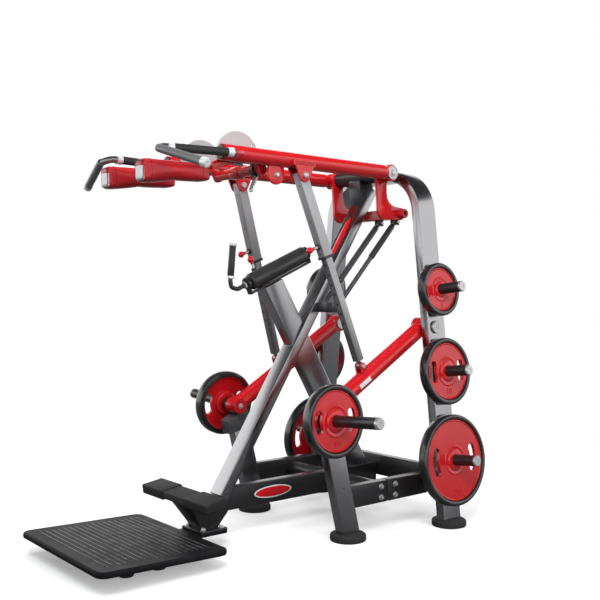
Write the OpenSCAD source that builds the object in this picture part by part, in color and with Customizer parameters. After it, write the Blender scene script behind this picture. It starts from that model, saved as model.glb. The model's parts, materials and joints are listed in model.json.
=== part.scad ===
// Plate-loaded standing leg press: a shoulder-pad arm, two struts and two weight levers on a braced frame.
// Length runs along X (platform at -X, uprights at +X), width along Y, height along Z. Millimetres.

/* [Frame] */
// shift along X that puts the middle of the machine over the origin
shift_x = 743.4; // [700:0.1:800]
// width across of the wide frame tubes
tube_wide = 100; // [80:1:120]
// depth of the frame tubes
tube_deep = 50; // [40:1:60]
// width of the rear brace across the machine
brace_wide = 60; // [50:1:80]
// depth of the rear brace
brace_deep = 110; // [90:1:120]
// width of the mast across the machine
mast_wide = 84; // [70:1:100]
// length of each upright tube section along X
upright_long = 114; // [90:1:120]
// place along X of the uprights and their pegs
upright_x = 12; // [0:1:20]
// half spacing of the uprights at the floor
upright_foot_y = 468; // [440:1:500]
// inward lean of the uprights in degrees
upright_lean = 6.37; // [4:0.01:8]
// bend radius of the arch
arch_radius = 200; // [160:1:240]
// height of the arch's top run
arch_z = 1655; // [1600:1:1700]
// half spacing of the front legs
front_leg_y = 343; // [320:1:370]
// outside diameter of the base cross tube
cross_tube_d = 76; // [60:1:80]

/* [Feet and platform] */
// diameter of the rubber feet
foot_d = 160; // [120:1:180]
// height of the rubber feet
foot_h = 34; // [25:1:45]
// length of the platform
platform_long = 559; // [480:1:600]
// half width of the platform
platform_half = 358; // [300:1:380]
// height of the platform's top
platform_z = 90; // [80:1:110]
// thickness of the platform
platform_t = 25; // [20:1:40]
// half length of the step bar
step_half = 242; // [200:1:280]
// height of the step bar's top
step_z = 246; // [220:1:260]
// tilt of the step bar in degrees
step_tilt = 8.5; // [0:0.5:12]
// rise of the platform towards its free edge in degrees
platform_tilt = 1.7; // [0:0.1:3]

/* [Upper arm] */
// height of the upper pivot
upper_z = 1655; // [1600:1:1700]
// half spacing of the upper levers
lever_y = 212; // [200:1:230]
// diameter of the upper lever tubes
lever_d = 68; // [55:1:70]
// diameter of the upper pivot axle
axle_d = 40; // [30:1:45]
// diameter of the selector discs
disc_d = 220; // [180:1:226]
// diameter of the handle bars
handle_d = 25; // [20:1:30]
// diameter of the handle grips
grip_d = 34; // [28:1:40]
// length of each shoulder pad
pad_long = 375; // [340:1:400]
// height of each shoulder pad
pad_high = 104; // [80:1:110]
// width of each shoulder pad
pad_wide = 84; // [70:1:84]

/* [Struts and weight levers] */
// width of the strut sleeves
sleeve_w = 46; // [40:1:46]
// width of the strut inner tubes
inner_w = 36; // [30:1:38]
// length of the strut sleeves below the top bolt
sleeve_long = 372; // [320:1:420]
// diameter of the weight lever tubes
weight_lever_d = 76; // [60:1:80]
// length of the weight levers
weight_lever_long = 760; // [700:1:800]
// diameter of the weight pegs
peg_d = 50; // [45:0.5:50]
// reach of the loading pegs from the lever
peg_reach = 344; // [280:1:380]
// reach of the storage pegs from the upright
store_reach = 176; // [140:1:200]

/* [Weight plates] */
// diameter of the large plate
large_d = 420; // [380:1:450]
// diameter of the medium plate
medium_d = 312; // [280:1:330]
// diameter of the small plate
small_d = 250; // [220:1:270]
// thickness of a plate
plate_t = 46; // [30:1:50]
// width of a hand slot in a plate
slot_wide = 38; // [24:1:42]
// angle that a hand slot turns through
slot_turn = 56; // [30:1:70]

/* [Hidden] */
$fn = 64;
// flats in each bend of the arch
bend_facets = 16;
// upper pivot, lower pivot, strut ends
ux = -120;
lx = 0;
lz = 922;
weight_lever_y = 305;
lever_drop = 30.48;
strut_top = [-689, 227, 1591];
strut_low = [-406, 305, 755];
strut_v = strut_low - strut_top;
strut_len = norm(strut_v);
strut_roll = asin(strut_v[1] / strut_len);
strut_pitch = -asin(strut_v[0] / strut_len / cos(strut_roll));
pin_at = 318;
// mast and brace lines in the middle plane
mast_low = [-964, 0, 195];
mast_high = [-60, 0, 1596];
brace_low = [-110, 0, 160];
brace_high = [-702, 0, 1160];
spine_lo = 132;
spine_hi = 232;
cross_x = -290;
cross_z = 182;
// pad carrier pivot and its cross tube
cx = -960;
disc_hole_r = disc_d / 2 - 16;
carrier_tube = [-857, 1613];
lug_x = -814;
lug_z = 1586;
lug_d = 84;
// balance spring ends
spring_hi = [0, 1432];
spring_lo = [-385, 1015];
spring_ys = [-15, -125];
barrel_from = [170, 325];
spring_len = norm([spring_hi[0] - spring_lo[0], spring_hi[1] - spring_lo[1]]);
spring_tilt = atan2(spring_hi[0] - spring_lo[0], spring_hi[1] - spring_lo[1]);
// roller line
roll_front = [-802, 0, 1126];
roll_tilt = 23.5;
roll_long = 352;
roll_d = 76;
knob_x = 88;
knob_y = roll_d / 2 + 14;
store_zs = [1092, 710, 302];
store_ds = [small_d, medium_d, large_d];

module place() {
  translate([shift_x, 0, 0]) children();
}

module on_side(s) {
  scale_y = s;
  if (scale_y > 0) children();
  else mirror([0, 1, 0]) children();
}

module both() {
  on_side(1) children();
  on_side(-1) children();
}

// round bar between two points
module rod(p, q, d) {
  v = q - p;
  translate(p) rotate([0, acos(v[2] / norm(v)), atan2(v[1], v[0])]) cylinder(d = d, h = norm(v));
}

// cylinder across the machine, from y0 to y1
module across(x, z, y0, y1, d) {
  translate([x, y1, z]) rotate([90, 0, 0]) cylinder(d = d, h = y1 - y0);
}

// rectangular tube in the middle plane from p to q
module beam(p, q, wide, deep) {
  v = q - p;
  translate(p) rotate([0, atan2(v[0], v[2]), 0]) translate([-deep / 2, -wide / 2, 0])
    cube([deep, wide, norm(v)]);
}

module slab(x0, x1, y0, y1, z0, z1) {
  translate([x0, y0, z0]) cube([x1 - x0, y1 - y0, z1 - z0]);
}

module spine_block() {
  slab(-958, -25, -tube_deep / 2, tube_deep / 2, spine_lo, spine_hi);
}

module spine_beam() {
  color("dimgray") difference() {
    spine_block();
    across(cross_x, cross_z, -60, 60, cross_tube_d);
  }
}

module brace_block() {
  difference() {
    beam(brace_low, brace_high, brace_wide, brace_deep);
    slab(-400, 200, -100, 100, 0, spine_hi);
    roll_frame() slab(-200, 600, -100, 100, -50, 200);
  }
}

module housing_cut() {
  across(ux, upper_z, -200, 200, 76);
}

module front_mast() {
  color("gray") difference() {
    beam(mast_low, mast_high, mast_wide, tube_deep);
    spine_block();
    brace_block();
    housing_cut();
  }
}

module rear_brace() {
  color("gray") brace_block();
}

// outline of the arch in the plane of the uprights: two leaning legs, two bends and the top run
function arch_y() = upright_foot_y
  - (arch_z - arch_radius + arch_radius * sin(upright_lean)) * tan(upright_lean)
  - arch_radius * cos(upright_lean);

function arch_arc(r) = [for (k = [0:bend_facets])
  let (a = upright_lean + k * (90 - upright_lean) / bend_facets)
  [arch_y() + r * cos(a), arch_z - arch_radius + r * sin(a)]];

function arch_run(off) = concat(
  [[upright_foot_y - foot_h * tan(upright_lean) + off / cos(upright_lean), foot_h]],
  arch_arc(arch_radius + off));

function backwards(p) = [for (k = [len(p) - 1:-1:0]) p[k]];

function other_side(p) = [for (q = p) [-q[0], q[1]]];

module arch_tube() {
  outer = arch_run(tube_deep / 2);
  inner = arch_run(-tube_deep / 2);
  translate([upright_x - upright_long / 2, 0, 0]) rotate([90, 0, 90]) linear_extrude(height = upright_long)
    polygon(concat(outer, backwards(other_side(outer)), other_side(inner), backwards(inner)));
}

module rear_arch() {
  color("gray") difference() {
    union() {
      arch_tube();
      slab(-100, -44, -30, 30, upper_z - 17, upper_z + 17);
    }
    across(lx, lz, -600, 600, 30);
    housing_cut();
  }
}

module rear_cross_beam() {
  inner_lo = upright_foot_y - 170 * tan(upright_lean) - tube_deep / 2 / cos(upright_lean);
  inner_hi = upright_foot_y - 270 * tan(upright_lean) - tube_deep / 2 / cos(upright_lean);
  color("dimgray") translate([-25, 0, 0]) rotate([90, 0, 90]) linear_extrude(height = 50)
    polygon([[-inner_lo, 170], [inner_lo, 170], [inner_hi, 270], [-inner_hi, 270]]);
}

module base_cross_tube() {
  inner = front_leg_y - tube_deep / 2;
  color("black") across(cross_x, cross_z, -inner, inner, cross_tube_d);
}

module leg_solid() {
  beam([-505, front_leg_y, -10], [-612, front_leg_y, 418], tube_deep, tube_wide * 0.97);
}

module front_leg(s) {
  color("gray") on_side(s) difference() {
    union() {
      leg_solid();
      slab(-560, cross_x, front_leg_y - tube_deep / 2, front_leg_y + tube_deep / 2, 140, 237);
    }
    slab(-900, 200, 0, 700, -100, foot_h);
  }
}

module side_rails() {
  color("black") both()
    slab(cross_x, -25, front_leg_y - tube_deep / 2, front_leg_y + tube_deep / 2, 140, 237);
}

module bolt_head(d, h) {
  cylinder(d = d, h = h, $fn = 6);
  translate([0, 0, -2]) cylinder(d = d * 1.35, h = 2);
}

module frame_bolts() {
  color("silver") {
    both() for (x = [-336, -246], z = [164, 213])
      translate([x, front_leg_y + tube_deep / 2 + 2, z]) rotate([-90, 0, 0]) bolt_head(16, 9);
    for (x = [-1082, -992], y = [-58, 58])
      translate([x, y, 80]) bolt_head(16, 9);
  }
}

module foot_shape() {
  rotate_extrude() polygon([[0, 0], [foot_d / 2 - 6, 0], [foot_d / 2, 6], [foot_d / 2, foot_h - 10],
    [foot_d / 2 - 10, foot_h], [0, foot_h]]);
}

module foot_pads() {
  color("black") {
    both() translate([-515, front_leg_y, 0]) foot_shape();
    both() translate([upright_x, upright_foot_y - 3, 0]) foot_shape();
    both() for (x = [-1497, -1357]) difference() {
      translate([x, platform_half - 200, 0]) cylinder(d = 60, h = platform_z - 6);
      platform_frame() slab(-2000, -1000, 0, 600, 0, 200);
    }
  }
}

module lever_frame() {
  translate([lx, 0, lz]) rotate([0, -lever_drop, 0]) children();
}

module lever_bumpers() {
  color("black") both() difference() {
    beam([-628.95, front_leg_y - 8, 413.8], [-668, front_leg_y - 8, 570], 66, 128);
    lever_frame() slab(-1200, 0, 0, 700, -weight_lever_d / 2 - 0.4, 300);
  }
}

// peg frame on the outer face of an upright at height z, axis along +Z
module store_frame(z) {
  translate([upright_x, upright_foot_y - z * tan(upright_lean), z]) rotate([upright_lean, 0, 0])
    translate([0, tube_deep / 2, 0]) rotate([-90, 0, 0]) children();
}

module storage_pegs() {
  color("black") both() for (z = store_zs) store_frame(z) {
    cylinder(d = peg_d, h = store_reach);
    cylinder(d = 78, h = 6);
  }
}

module lower_axles() {
  color("silver") both() {
    across(lx, lz, 263, 404, 30);
    across(lx, lz, 263, 271.6, 58);
    across(lx, lz, 394, 404, 60);
  }
}

module pivot_housing() {
  color("black") difference() {
    across(ux, upper_z, -147, 147, 76);
    across(ux, upper_z, -200, 200, axle_d + 0.12);
  }
}

module mast_head() {
  color("dimgray") difference() {
    translate([0, 40, 0]) rotate([90, 0, 0]) linear_extrude(height = 80)
      polygon([[-142, 1508], [-160, 1626], [-150, 1650], [-104, 1650], [-66, 1612], [-90, 1540]]);
    beam(mast_low, mast_high, mast_wide, tube_deep);
    housing_cut();
  }
}

module spring_anchor() {
  color("gray") difference() {
    union() {
      for (y = spring_ys) for (d = [-17, 11]) slab(-430, -366, y + d, y + d + 6, 992, 1038);
      slab(-430, -403, spring_ys[1] - 17, spring_ys[0] + 17, 992, 1038);
      for (y = spring_ys) across(spring_lo[0], spring_lo[1], y - 20, y + 20, 12);
    }
    beam(mast_low, mast_high, mast_wide, tube_deep);
  }
}

// frame of the step bar: origin in its middle, toe edge a little lower
module step_frame() {
  translate([-1145, 0, step_z - 20]) rotate([0, -step_tilt, 0]) children();
}

module step_bar() {
  color("dimgray") step_frame() slab(-47, 47, -step_half, step_half, -16, 16);
}

module step_sleeves() {
  color("black") both() difference() {
    step_frame() slab(-52, 52, 84, step_half + 14, -21, 21);
    step_frame() slab(-47, 47, 0, step_half, -16, 16);
  }
}

module step_bracket() {
  color("dimgray") difference() {
    union() {
      bracket_funnel();
      slab(-1104, -970, -76, 76, 66, 78);
    }
    step_frame() slab(-80, 80, -300, 300, -16, 100);
  }
}

module bracket_funnel() {
  front = [[-1180, step_z - 22], [-1106, step_z - 12]];
  rear = [[-1040, 150], [-958, 190], [-958, 140], [-1000, 77], [-1078, 77]];
  intersection() {
    translate([0, 200, 0]) rotate([90, 0, 0]) linear_extrude(height = 400) polygon(concat(front, rear));
    translate([-1250, 0, 0]) rotate([90, 0, 90]) linear_extrude(height = 400)
      polygon([[-44, 70], [44, 70], [88, step_z], [-88, step_z]]);
  }
}

module platform_slab() {
  r = 40;
  x0 = -1150 - platform_long;
  linear_extrude(height = platform_t) union() {
    translate([x0 + r, -platform_half]) square([platform_long - 2 * r, 2 * platform_half]);
    translate([x0, -platform_half + r]) square([platform_long, 2 * platform_half - 2 * r]);
    for (x = [x0 + r, -1150 - r], y = [-platform_half + r, platform_half - r])
      translate([x, y]) circle(r = r);
  }
}

// frame of the platform: rear edge of its underside
module platform_frame() {
  translate([-1150, 0, platform_z - platform_t - 6]) rotate([0, platform_tilt, 0])
    translate([1150, 0, 0]) children();
}

module foot_platform() {
  color("black") {
    platform_frame() platform_slab();
    slab(-1180, -970, -76, 76, 54, 66);
  }
}

// frame of the roller: +X along its axis from the front end, origin on the axis
module roll_frame() {
  translate(roll_front) rotate([0, -roll_tilt, 0]) children();
}

module roller_bracket() {
  color("dimgray") difference() {
    union() {
      roll_frame() slab(-14, roll_long + 14, -15, 15, -50, -42);
      for (x = [-14, roll_long + 4]) {
        roll_frame() slab(x, x + 10, -15, 15, -50, 0);
        roll_frame() translate([x, 0, 0]) rotate([0, 90, 0]) cylinder(d = 60, h = 10);
      }
      roll_frame() slab(knob_x - 15, knob_x + 15, 10, knob_y + 12, -50, -42);
      roll_frame() translate([knob_x, knob_y, -50]) cylinder(d = 24, h = 88);
    }
    roll_frame() translate([-60, 0, 0]) rotate([0, 90, 0]) cylinder(d = 20.2, h = 600);
    roll_frame() translate([knob_x, knob_y, 0]) cylinder(d = 12.3, h = 200);
  }
}

module clevis(s) {
  for (y = [196, 251]) difference() {
    translate([0, y + 8, 0]) rotate([90, 0, 0]) linear_extrude(height = 8)
      polygon([[-752, 1657], [-626, 1657], [-668, 1568], [-686, 1560], [-704, 1568]]);
    across(strut_top[0], strut_top[2], 150, 300, 16);
  }
  slab(-750, -628, 196, 259, 1630, 1652);
}

module upper_lever(s) {
  color("red") on_side(s) difference() {
    union() {
      lever_tube();
      across(ux, upper_z, 164, 224, 80);
      across(cx, upper_z, 176, 206, 56);
      clevis(s);
      if (s < 0) {
        across(lug_x, lug_z, 206, 218, lug_d);
        slab(lug_x - lug_d / 2, lug_x + lug_d / 2, 206, 218, lug_z, upper_z);
        across(lug_x, lug_z, 218, 226, 20);
      }
    }
    across(ux, upper_z, 100, 300, axle_d);
    across(ux, upper_z, 224, 300, 76);
  }
}

module yoke_plate() {
  difference() {
    union() {
      across(ux, upper_z, 148, 164, 92);
      translate([0, 164, 0]) rotate([90, 0, 0]) linear_extrude(height = 16)
        polygon([[-164, 1655], [-76, 1655], [-68, 1560], [-40, 1510], [20, 1496], [20, 1446],
          [-40, 1436], [-150, 1450]]);
      across(0, 1470, 148, 164, 60);
    }
    across(ux, upper_z, 100, 300, axle_d);
  }
}

module yoke() {
  color("red") {
    both() yoke_plate();
    slab(-25, 25, -149, 149, 1445, 1495);
    difference() {
      across(0, 1470, -196, -149, 46);
      across(0, 1470, -300, -170, 22);
    }
    for (y = spring_ys) for (d = [-17, 11]) slab(-15, 15, y + d, y + d + 6, 1418, 1450);
    for (y = spring_ys) across(spring_hi[0], spring_hi[1], y - 20, y + 20, 12);
  }
}

module pivot_axle() {
  color("silver") {
    across(ux, upper_z, -232, 232, axle_d);
    across(ux, upper_z, 224, 234, 74);
    across(ux, upper_z, -234, -224, 74);
  }
}

module strut_bolts() {
  color("silver") both() {
    across(strut_top[0], strut_top[2], 190, 266, 16);
    across(strut_top[0], strut_top[2], 259, 269, 28);
    across(strut_top[0], strut_top[2], 186, 196, 28);
  }
}

hp1 = [-1056, 232, 1650];
hp2 = [-1409, 200, 1648];
hp3 = [-1343, 482, 1556];

module handle(s) {
  color("dimgray") on_side(s) difference() {
    union() {
      rod(hp1, mix(hp1, hp2, 1.03), handle_d);
      rod(mix(hp2, hp3, -0.03), hp3, handle_d + 1);
    }
    lever_tube(0.6);
  }
}

module lever_tube(extra = 0) {
  translate([-1095, lever_y, upper_z]) rotate([0, 90, 0]) cylinder(d = lever_d + extra, h = ux + 1095 - 34);
}

function mix(p, q, t) = p + (q - p) * t;

module handle_grips() {
  color("black") both() {
    difference() {
      rod(mix(hp1, hp2, 0.07), mix(hp1, hp2, 0.76), grip_d);
      rod(hp1, hp2, handle_d);
      lever_tube(0.6);
    }
    difference() {
      rod(mix(hp2, hp3, 0.10), mix(hp2, hp3, 0.93), grip_d);
      rod(hp2, hp3, handle_d + 1);
    }
  }
}

module handle_collars() {
  color("silver") both() {
    for (t = [[0.03, 0.07], [0.76, 0.80]]) difference() {
      rod(mix(hp1, hp2, t[0]), mix(hp1, hp2, t[1]), grip_d + 6);
      rod(hp1, hp2, handle_d);
      lever_tube(0.6);
    }
    difference() {
      rod(mix(hp2, hp3, 0.93), mix(hp2, hp3, 1.02), grip_d + 4);
      rod(hp2, hp3, handle_d + 1);
    }
  }
}

module selector_discs() {
  color("lightgray") both() {
    difference() {
      across(cx, upper_z, 134, 142, disc_d);
      for (a = [13, 28]) across(cx + disc_hole_r * cos(a), upper_z + disc_hole_r * sin(a), 120, 160, 12);
      slab(cx - disc_d, cx + disc_d, 120, 160, upper_z - disc_d, upper_z - 36);
      slab(cx + 26, cx + disc_d, 120, 160, upper_z - disc_d, upper_z + 8);
    }
    across(cx, upper_z, 142, 176, 30);
    across(cx, upper_z, 128, 134, 46);
  }
}

module carrier_arm() {
  difference() {
    union() {
      across(cx, upper_z, 150, 173, 72);
      translate([0, 173, 0]) rotate([90, 0, 0]) linear_extrude(height = 23)
        polygon([[cx + 20, 1681], [-838, 1630], [-850, 1592], [-886, 1624], [cx - 20, 1626], [-1110, 1584],
          [-1110, 1618], [cx - 20, 1684]]);
      across(carrier_tube[0], carrier_tube[1], 150, 173, 56);
    }
    across(cx, upper_z, 100, 200, 30.1);
  }
}

module pad_carrier() {
  color("darkred") {
    both() carrier_arm();
    across(carrier_tube[0], carrier_tube[1], -151, 151, 45);
    across(carrier_tube[0], carrier_tube[1], -20, 40, 56);
  }
}

// rounded pad section, drawn flat and extruded along the pad
module pad_section() {
  r = 30;
  union() {
    square([pad_wide - 2 * r, pad_high], center = true);
    square([pad_wide, pad_high - 2 * r], center = true);
    for (x = [-1, 1], y = [-1, 1]) translate([x * (pad_wide / 2 - r), y * (pad_high / 2 - r)]) circle(r = r);
  }
}

module shoulder_pad(s) {
  color("red") on_side(s) difference() {
    translate([-1062, 132, 1565]) rotate([0, -1.2, -2]) rotate([90, 0, -90])
      linear_extrude(height = pad_long + 8) pad_section();
    slab(-1110, -900, 0, 300, 1400, 1700);
  }
}

module latch_rod() {
  color("silver") difference() {
    union() {
      across(carrier_tube[0], carrier_tube[1], -142, -118, 64);
      rod([-857, -130, 1583], [-886, -130, 1518], 14);
      rod([-857, -130, 1640], [-810, -130, 1646], 11);
    }
    across(carrier_tube[0], carrier_tube[1], -200, 0, 45.1);
  }
}

module strut_frame() {
  translate(strut_top) rotate([strut_roll, strut_pitch, 0]) children();
}

module strut_sleeve(s) {
  color("lightgray") on_side(s) difference() {
    strut_frame() slab(-25, 25, -sleeve_w / 2, sleeve_w / 2, -sleeve_long, 16);
    strut_frame() slab(-inner_w / 2, inner_w / 2, -inner_w / 2, inner_w / 2, -sleeve_long - 10, -60);
    across(strut_top[0], strut_top[2], 150, 300, 16.1);
    strut_frame() translate([0, 0, -pin_at]) rotate([0, -90, 0]) cylinder(d = 16.2, h = 60);
    slab(-900, -500, 251.0 - 0.4, 300, 1500, 1700);
    slab(-900, -500, 150, 204.4, 1500, 1700);
  }
}

module strut_tube(s) {
  color("gray") on_side(s) difference() {
    union() {
      strut_frame() slab(-inner_w / 2, inner_w / 2, -inner_w / 2, inner_w / 2, -strut_len + 26, -150);
      strut_frame() translate([0, 0, -strut_len]) cylinder(d = 18, h = 60);
      across(strut_low[0], strut_low[2], strut_low[1] - 10, strut_low[1] + 10, 36);
    }
    across(strut_low[0], strut_low[2], 200, 400, 20);
    strut_frame() for (k = [0:8]) translate([0, 0, -pin_at - 45 * k])
      rotate([0, -90, 0]) cylinder(d = 11, h = 60);
  }
}

module strut_pin(s) {
  color("red") on_side(s) strut_frame() translate([0, 0, -pin_at]) rotate([0, -90, 0]) {
    translate([0, 0, 2]) cylinder(d = 10.5, h = 24);
    translate([0, 0, 19]) cylinder(d = 16, h = 38);
    translate([0, 0, 57]) cylinder(d = 12, h = 10);
    translate([0, 0, 77]) sphere(d = 30);
  }
}

module weight_lever(s) {
  color("red") on_side(s) difference() {
    union() {
      lever_frame() translate([-weight_lever_long, weight_lever_y, 0]) rotate([0, 90, 0])
        cylinder(d = weight_lever_d, h = weight_lever_long);
      across(lx, lz, 272, 333, 86);
      lever_frame() across(-weight_lever_long, 0, 267, 343, weight_lever_d);
      lever_frame() for (y = [weight_lever_y - 19, weight_lever_y + 11]) {
        across(-434.5, 62, y, y + 8, 34);
        slab(-451.5, -417.5, y, y + 8, 20, 62);
      }
      lever_frame() across(-434.5, 62, weight_lever_y - 22, weight_lever_y + 22, 12);
    }
    across(lx, lz, 200, 400, 30.1);
    across(lx, lz, 200, 272, 92);
    across(lx, lz, 333.5, 420, 150);
  }
}

// loading peg frame at the lever's end: axis outward and a little up, along +Z
module load_frame() {
  lever_frame() translate([-weight_lever_long, 343, 0])
    rotate([0, lever_drop, 0]) rotate([4.4 - 90, 0, 0]) children();
}

module loading_peg(s) {
  color("black") on_side(s) difference() {
    load_frame() {
      translate([0, 0, -8]) cylinder(d = 62, h = 48);
      translate([0, 0, 40]) cylinder(d = peg_d - 3, h = 60);
      translate([0, 0, 92]) cylinder(d = peg_d, h = peg_reach - 92);
    }
    lever_frame() across(-weight_lever_long, 0, 200, 343, 100);
  }
}

module spring_frame(y) {
  translate([spring_lo[0], y, spring_lo[1]]) rotate([0, spring_tilt, 0]) children();
}

module spring_barrels() {
  color("black") for (k = [0, 1]) let (y = spring_ys[k], from = barrel_from[k]) difference() {
    union() {
      spring_frame(y) translate([0, 0, from]) cylinder(d = 34, h = spring_len - 28 - from);
      spring_frame(y) translate([0, 0, spring_len - 40]) cylinder(d = 16, h = 36);
      across(spring_hi[0], spring_hi[1], y - 9, y + 9, 24);
    }
    spring_frame(y) translate([0, 0, from - 10]) cylinder(d = 28, h = spring_len - 40 - from);
    across(spring_hi[0], spring_hi[1], y - 40, y + 40, 12.1);
  }
}

module spring_rods() {
  color("black") for (y = spring_ys) difference() {
    union() {
      spring_frame(y) translate([0, 0, 4]) cylinder(d = 16, h = 40);
      spring_frame(y) translate([0, 0, 30]) cylinder(d = 19, h = 350);
      across(spring_lo[0], spring_lo[1], y - 9, y + 9, 24);
    }
    across(spring_lo[0], spring_lo[1], y - 40, y + 40, 12.1);
  }
}

module roller() {
  color("black") roll_frame() rotate([0, 90, 0]) difference() {
    translate([0, 0, 5]) cylinder(d = roll_d, h = roll_long - 5);
    translate([0, 0, -10]) cylinder(d = 20.2, h = roll_long + 20);
  }
}

module crank_bar() {
  color("black") {
    roll_frame() rotate([0, 90, 0]) translate([0, 0, -32]) cylinder(d = 20, h = roll_long + 60);
    roll_frame() rotate([0, 90, 0]) translate([0, 0, roll_long + 15]) cylinder(d = 30, h = 10, $fn = 6);
    roll_frame() rotate([0, 90, 0]) translate([0, 0, -30]) cylinder(d = 30, h = 15, $fn = 6);
    rod([-826, 0, 1115], [-862, 0, 1099], 20);
    translate([-862, 0, 1099]) sphere(d = 20);
    rod([-862, 0, 1099], [-896, 0, 1108], 20);
    translate([-896, 0, 1108]) sphere(d = 20);
    rod([-896, 0, 1108], [-902, 0, 1136], 20);
    translate([-902, 0, 1136]) sphere(d = 20);
    rod([-902, 0, 1136], [-888, 0, 1290], 18);
  }
}

module crank_grip() {
  color("black") difference() {
    rod([-902, 0, 1136], [-886.9, 0, 1302], 30);
    rod([-902, 0, 1136], [-888, 0, 1290], 18);
    translate([-902, 0, 1136]) sphere(d = 20);
  }
}

module crank_pin() {
  color("red") roll_frame() translate([knob_x, knob_y, 0]) {
    translate([0, 0, 22]) cylinder(d = 12, h = 46);
    translate([0, 0, 80]) sphere(d = 30);
  }
}

// outer outline of a plate of radius r, from its bore to the foot of its rim
function plate_rim(r) = [[peg_d / 2 + 0.3, 0], [r - 4, 0], [r, 4], [r, plate_t - 4], [r - 4, plate_t],
  [r - 22, plate_t], [r - 28, plate_t - 9]];

module plate_shape(d, slots) {
  difference() {
    rotate_extrude($fn = 96) polygon(concat(plate_rim(d / 2),
      [[64, plate_t - 9], [58, plate_t - 3], [peg_d / 2 + 0.3, plate_t - 3]]));
    if (slots) for (a = [0, 180]) rotate([0, 0, a - slot_turn / 2]) translate([0, 0, -1])
      rotate_extrude(angle = slot_turn, $fn = 96) translate([(36 + d / 2 - slot_wide) / 2, 0])
        square([slot_wide, plate_t + 2]);
  }
}

module stored_plate(s, k) {
  color("red") on_side(s) store_frame(store_zs[k]) translate([0, 0, 6.4]) plate_shape(store_ds[k], k > 0);
}

module lever_plate(s) {
  color("red") on_side(s) load_frame() translate([0, 0, 40.4]) plate_shape(medium_d, true);
}

place() spine_beam();
place() front_mast();
place() rear_brace();
place() rear_arch();
place() rear_cross_beam();
place() base_cross_tube();
place() front_leg(1);  // front_leg_left
place() front_leg(-1);  // front_leg_right
place() side_rails();
place() frame_bolts();
place() foot_pads();
place() lever_bumpers();
place() storage_pegs();
place() lower_axles();
place() pivot_housing();
place() mast_head();
place() spring_anchor();
place() step_bar();
place() step_sleeves();
place() step_bracket();
place() foot_platform();
place() roller_bracket();
place() upper_lever(1);  // upper_lever_left
place() upper_lever(-1);  // upper_lever_right
place() yoke();
place() pivot_axle();
place() strut_bolts();
place() handle(1);  // handle_left
place() handle(-1);  // handle_right
place() handle_grips();
place() handle_collars();
place() selector_discs();
place() pad_carrier();
place() shoulder_pad(1);  // shoulder_pad_left
place() shoulder_pad(-1);  // shoulder_pad_right
place() latch_rod();
place() strut_sleeve(1);  // strut_sleeve_left
place() strut_sleeve(-1);  // strut_sleeve_right
place() strut_tube(1);  // strut_tube_left
place() strut_tube(-1);  // strut_tube_right
place() strut_pin(1);  // strut_pin_left
place() strut_pin(-1);  // strut_pin_right
place() weight_lever(1);  // weight_lever_left
place() weight_lever(-1);  // weight_lever_right
place() loading_peg(1);  // loading_peg_left
place() loading_peg(-1);  // loading_peg_right
place() spring_barrels();
place() spring_rods();
place() roller();
place() crank_bar();
place() crank_grip();
place() crank_pin();
place() stored_plate(1, 0);  // plate_small_left
place() stored_plate(-1, 0);  // plate_small_right
place() stored_plate(1, 1);  // plate_medium_left
place() stored_plate(-1, 1);  // plate_medium_right
place() stored_plate(1, 2);  // plate_large_left
place() stored_plate(-1, 2);  // plate_large_right
place() lever_plate(1);  // lever_plate_left
place() lever_plate(-1);  // lever_plate_right
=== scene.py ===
"""Looks of a standing leg press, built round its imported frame.

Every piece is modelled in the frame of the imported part, in metres, and rides on one of its bodies.
The drawing's lengths are in millimetres, measured from the uprights.
"""

from __future__ import annotations

import json
import logging
import math
from dataclasses import dataclass, field
from enum import Enum
from typing import Callable, Iterable, Sequence

import bpy
from mathutils import Matrix, Vector

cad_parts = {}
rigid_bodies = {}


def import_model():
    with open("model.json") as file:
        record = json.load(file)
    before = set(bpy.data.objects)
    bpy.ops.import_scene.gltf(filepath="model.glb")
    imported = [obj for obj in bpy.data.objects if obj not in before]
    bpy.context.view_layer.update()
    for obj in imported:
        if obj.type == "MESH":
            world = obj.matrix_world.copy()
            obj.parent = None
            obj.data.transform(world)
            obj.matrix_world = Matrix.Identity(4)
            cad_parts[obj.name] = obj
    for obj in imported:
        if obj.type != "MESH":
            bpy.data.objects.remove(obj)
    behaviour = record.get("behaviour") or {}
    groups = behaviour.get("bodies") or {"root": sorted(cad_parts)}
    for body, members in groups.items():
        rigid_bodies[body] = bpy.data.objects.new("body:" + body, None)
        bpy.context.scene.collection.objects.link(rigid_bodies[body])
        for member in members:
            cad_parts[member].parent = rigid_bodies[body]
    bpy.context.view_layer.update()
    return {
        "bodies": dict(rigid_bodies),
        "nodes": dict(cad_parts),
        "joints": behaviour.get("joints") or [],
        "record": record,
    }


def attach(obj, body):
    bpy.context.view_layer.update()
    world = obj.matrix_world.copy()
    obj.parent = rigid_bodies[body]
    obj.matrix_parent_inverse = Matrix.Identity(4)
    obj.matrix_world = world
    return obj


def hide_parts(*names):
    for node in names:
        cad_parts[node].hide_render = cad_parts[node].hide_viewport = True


LOG = logging.getLogger("leg_press")
MM = 0.001
SHIFT_X = 743.4
PRESS_Z = 1655.0
LOWER_AXLE_Z = 922.0
UPRIGHT_Y = 468.0

Pair = tuple[float, float]
Triple = tuple[float, float, float]
Piece = bpy.types.Object
Socket = bpy.types.NodeSocket


class Side(Enum):
    """Side of the machine, as the user who faces the mast sees it."""

    LEFT = 1
    RIGHT = -1

    @property
    def word(self) -> str:
        """Name of the side as it stands in the names of bodies."""
        return self.name.lower()


def at(x: float, y: float, z: float) -> Vector:
    """Point of the drawing, in millimetres from the uprights, as a point of the frame in metres."""
    return Vector(((x + SHIFT_X) * MM, y * MM, z * MM))


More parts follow.
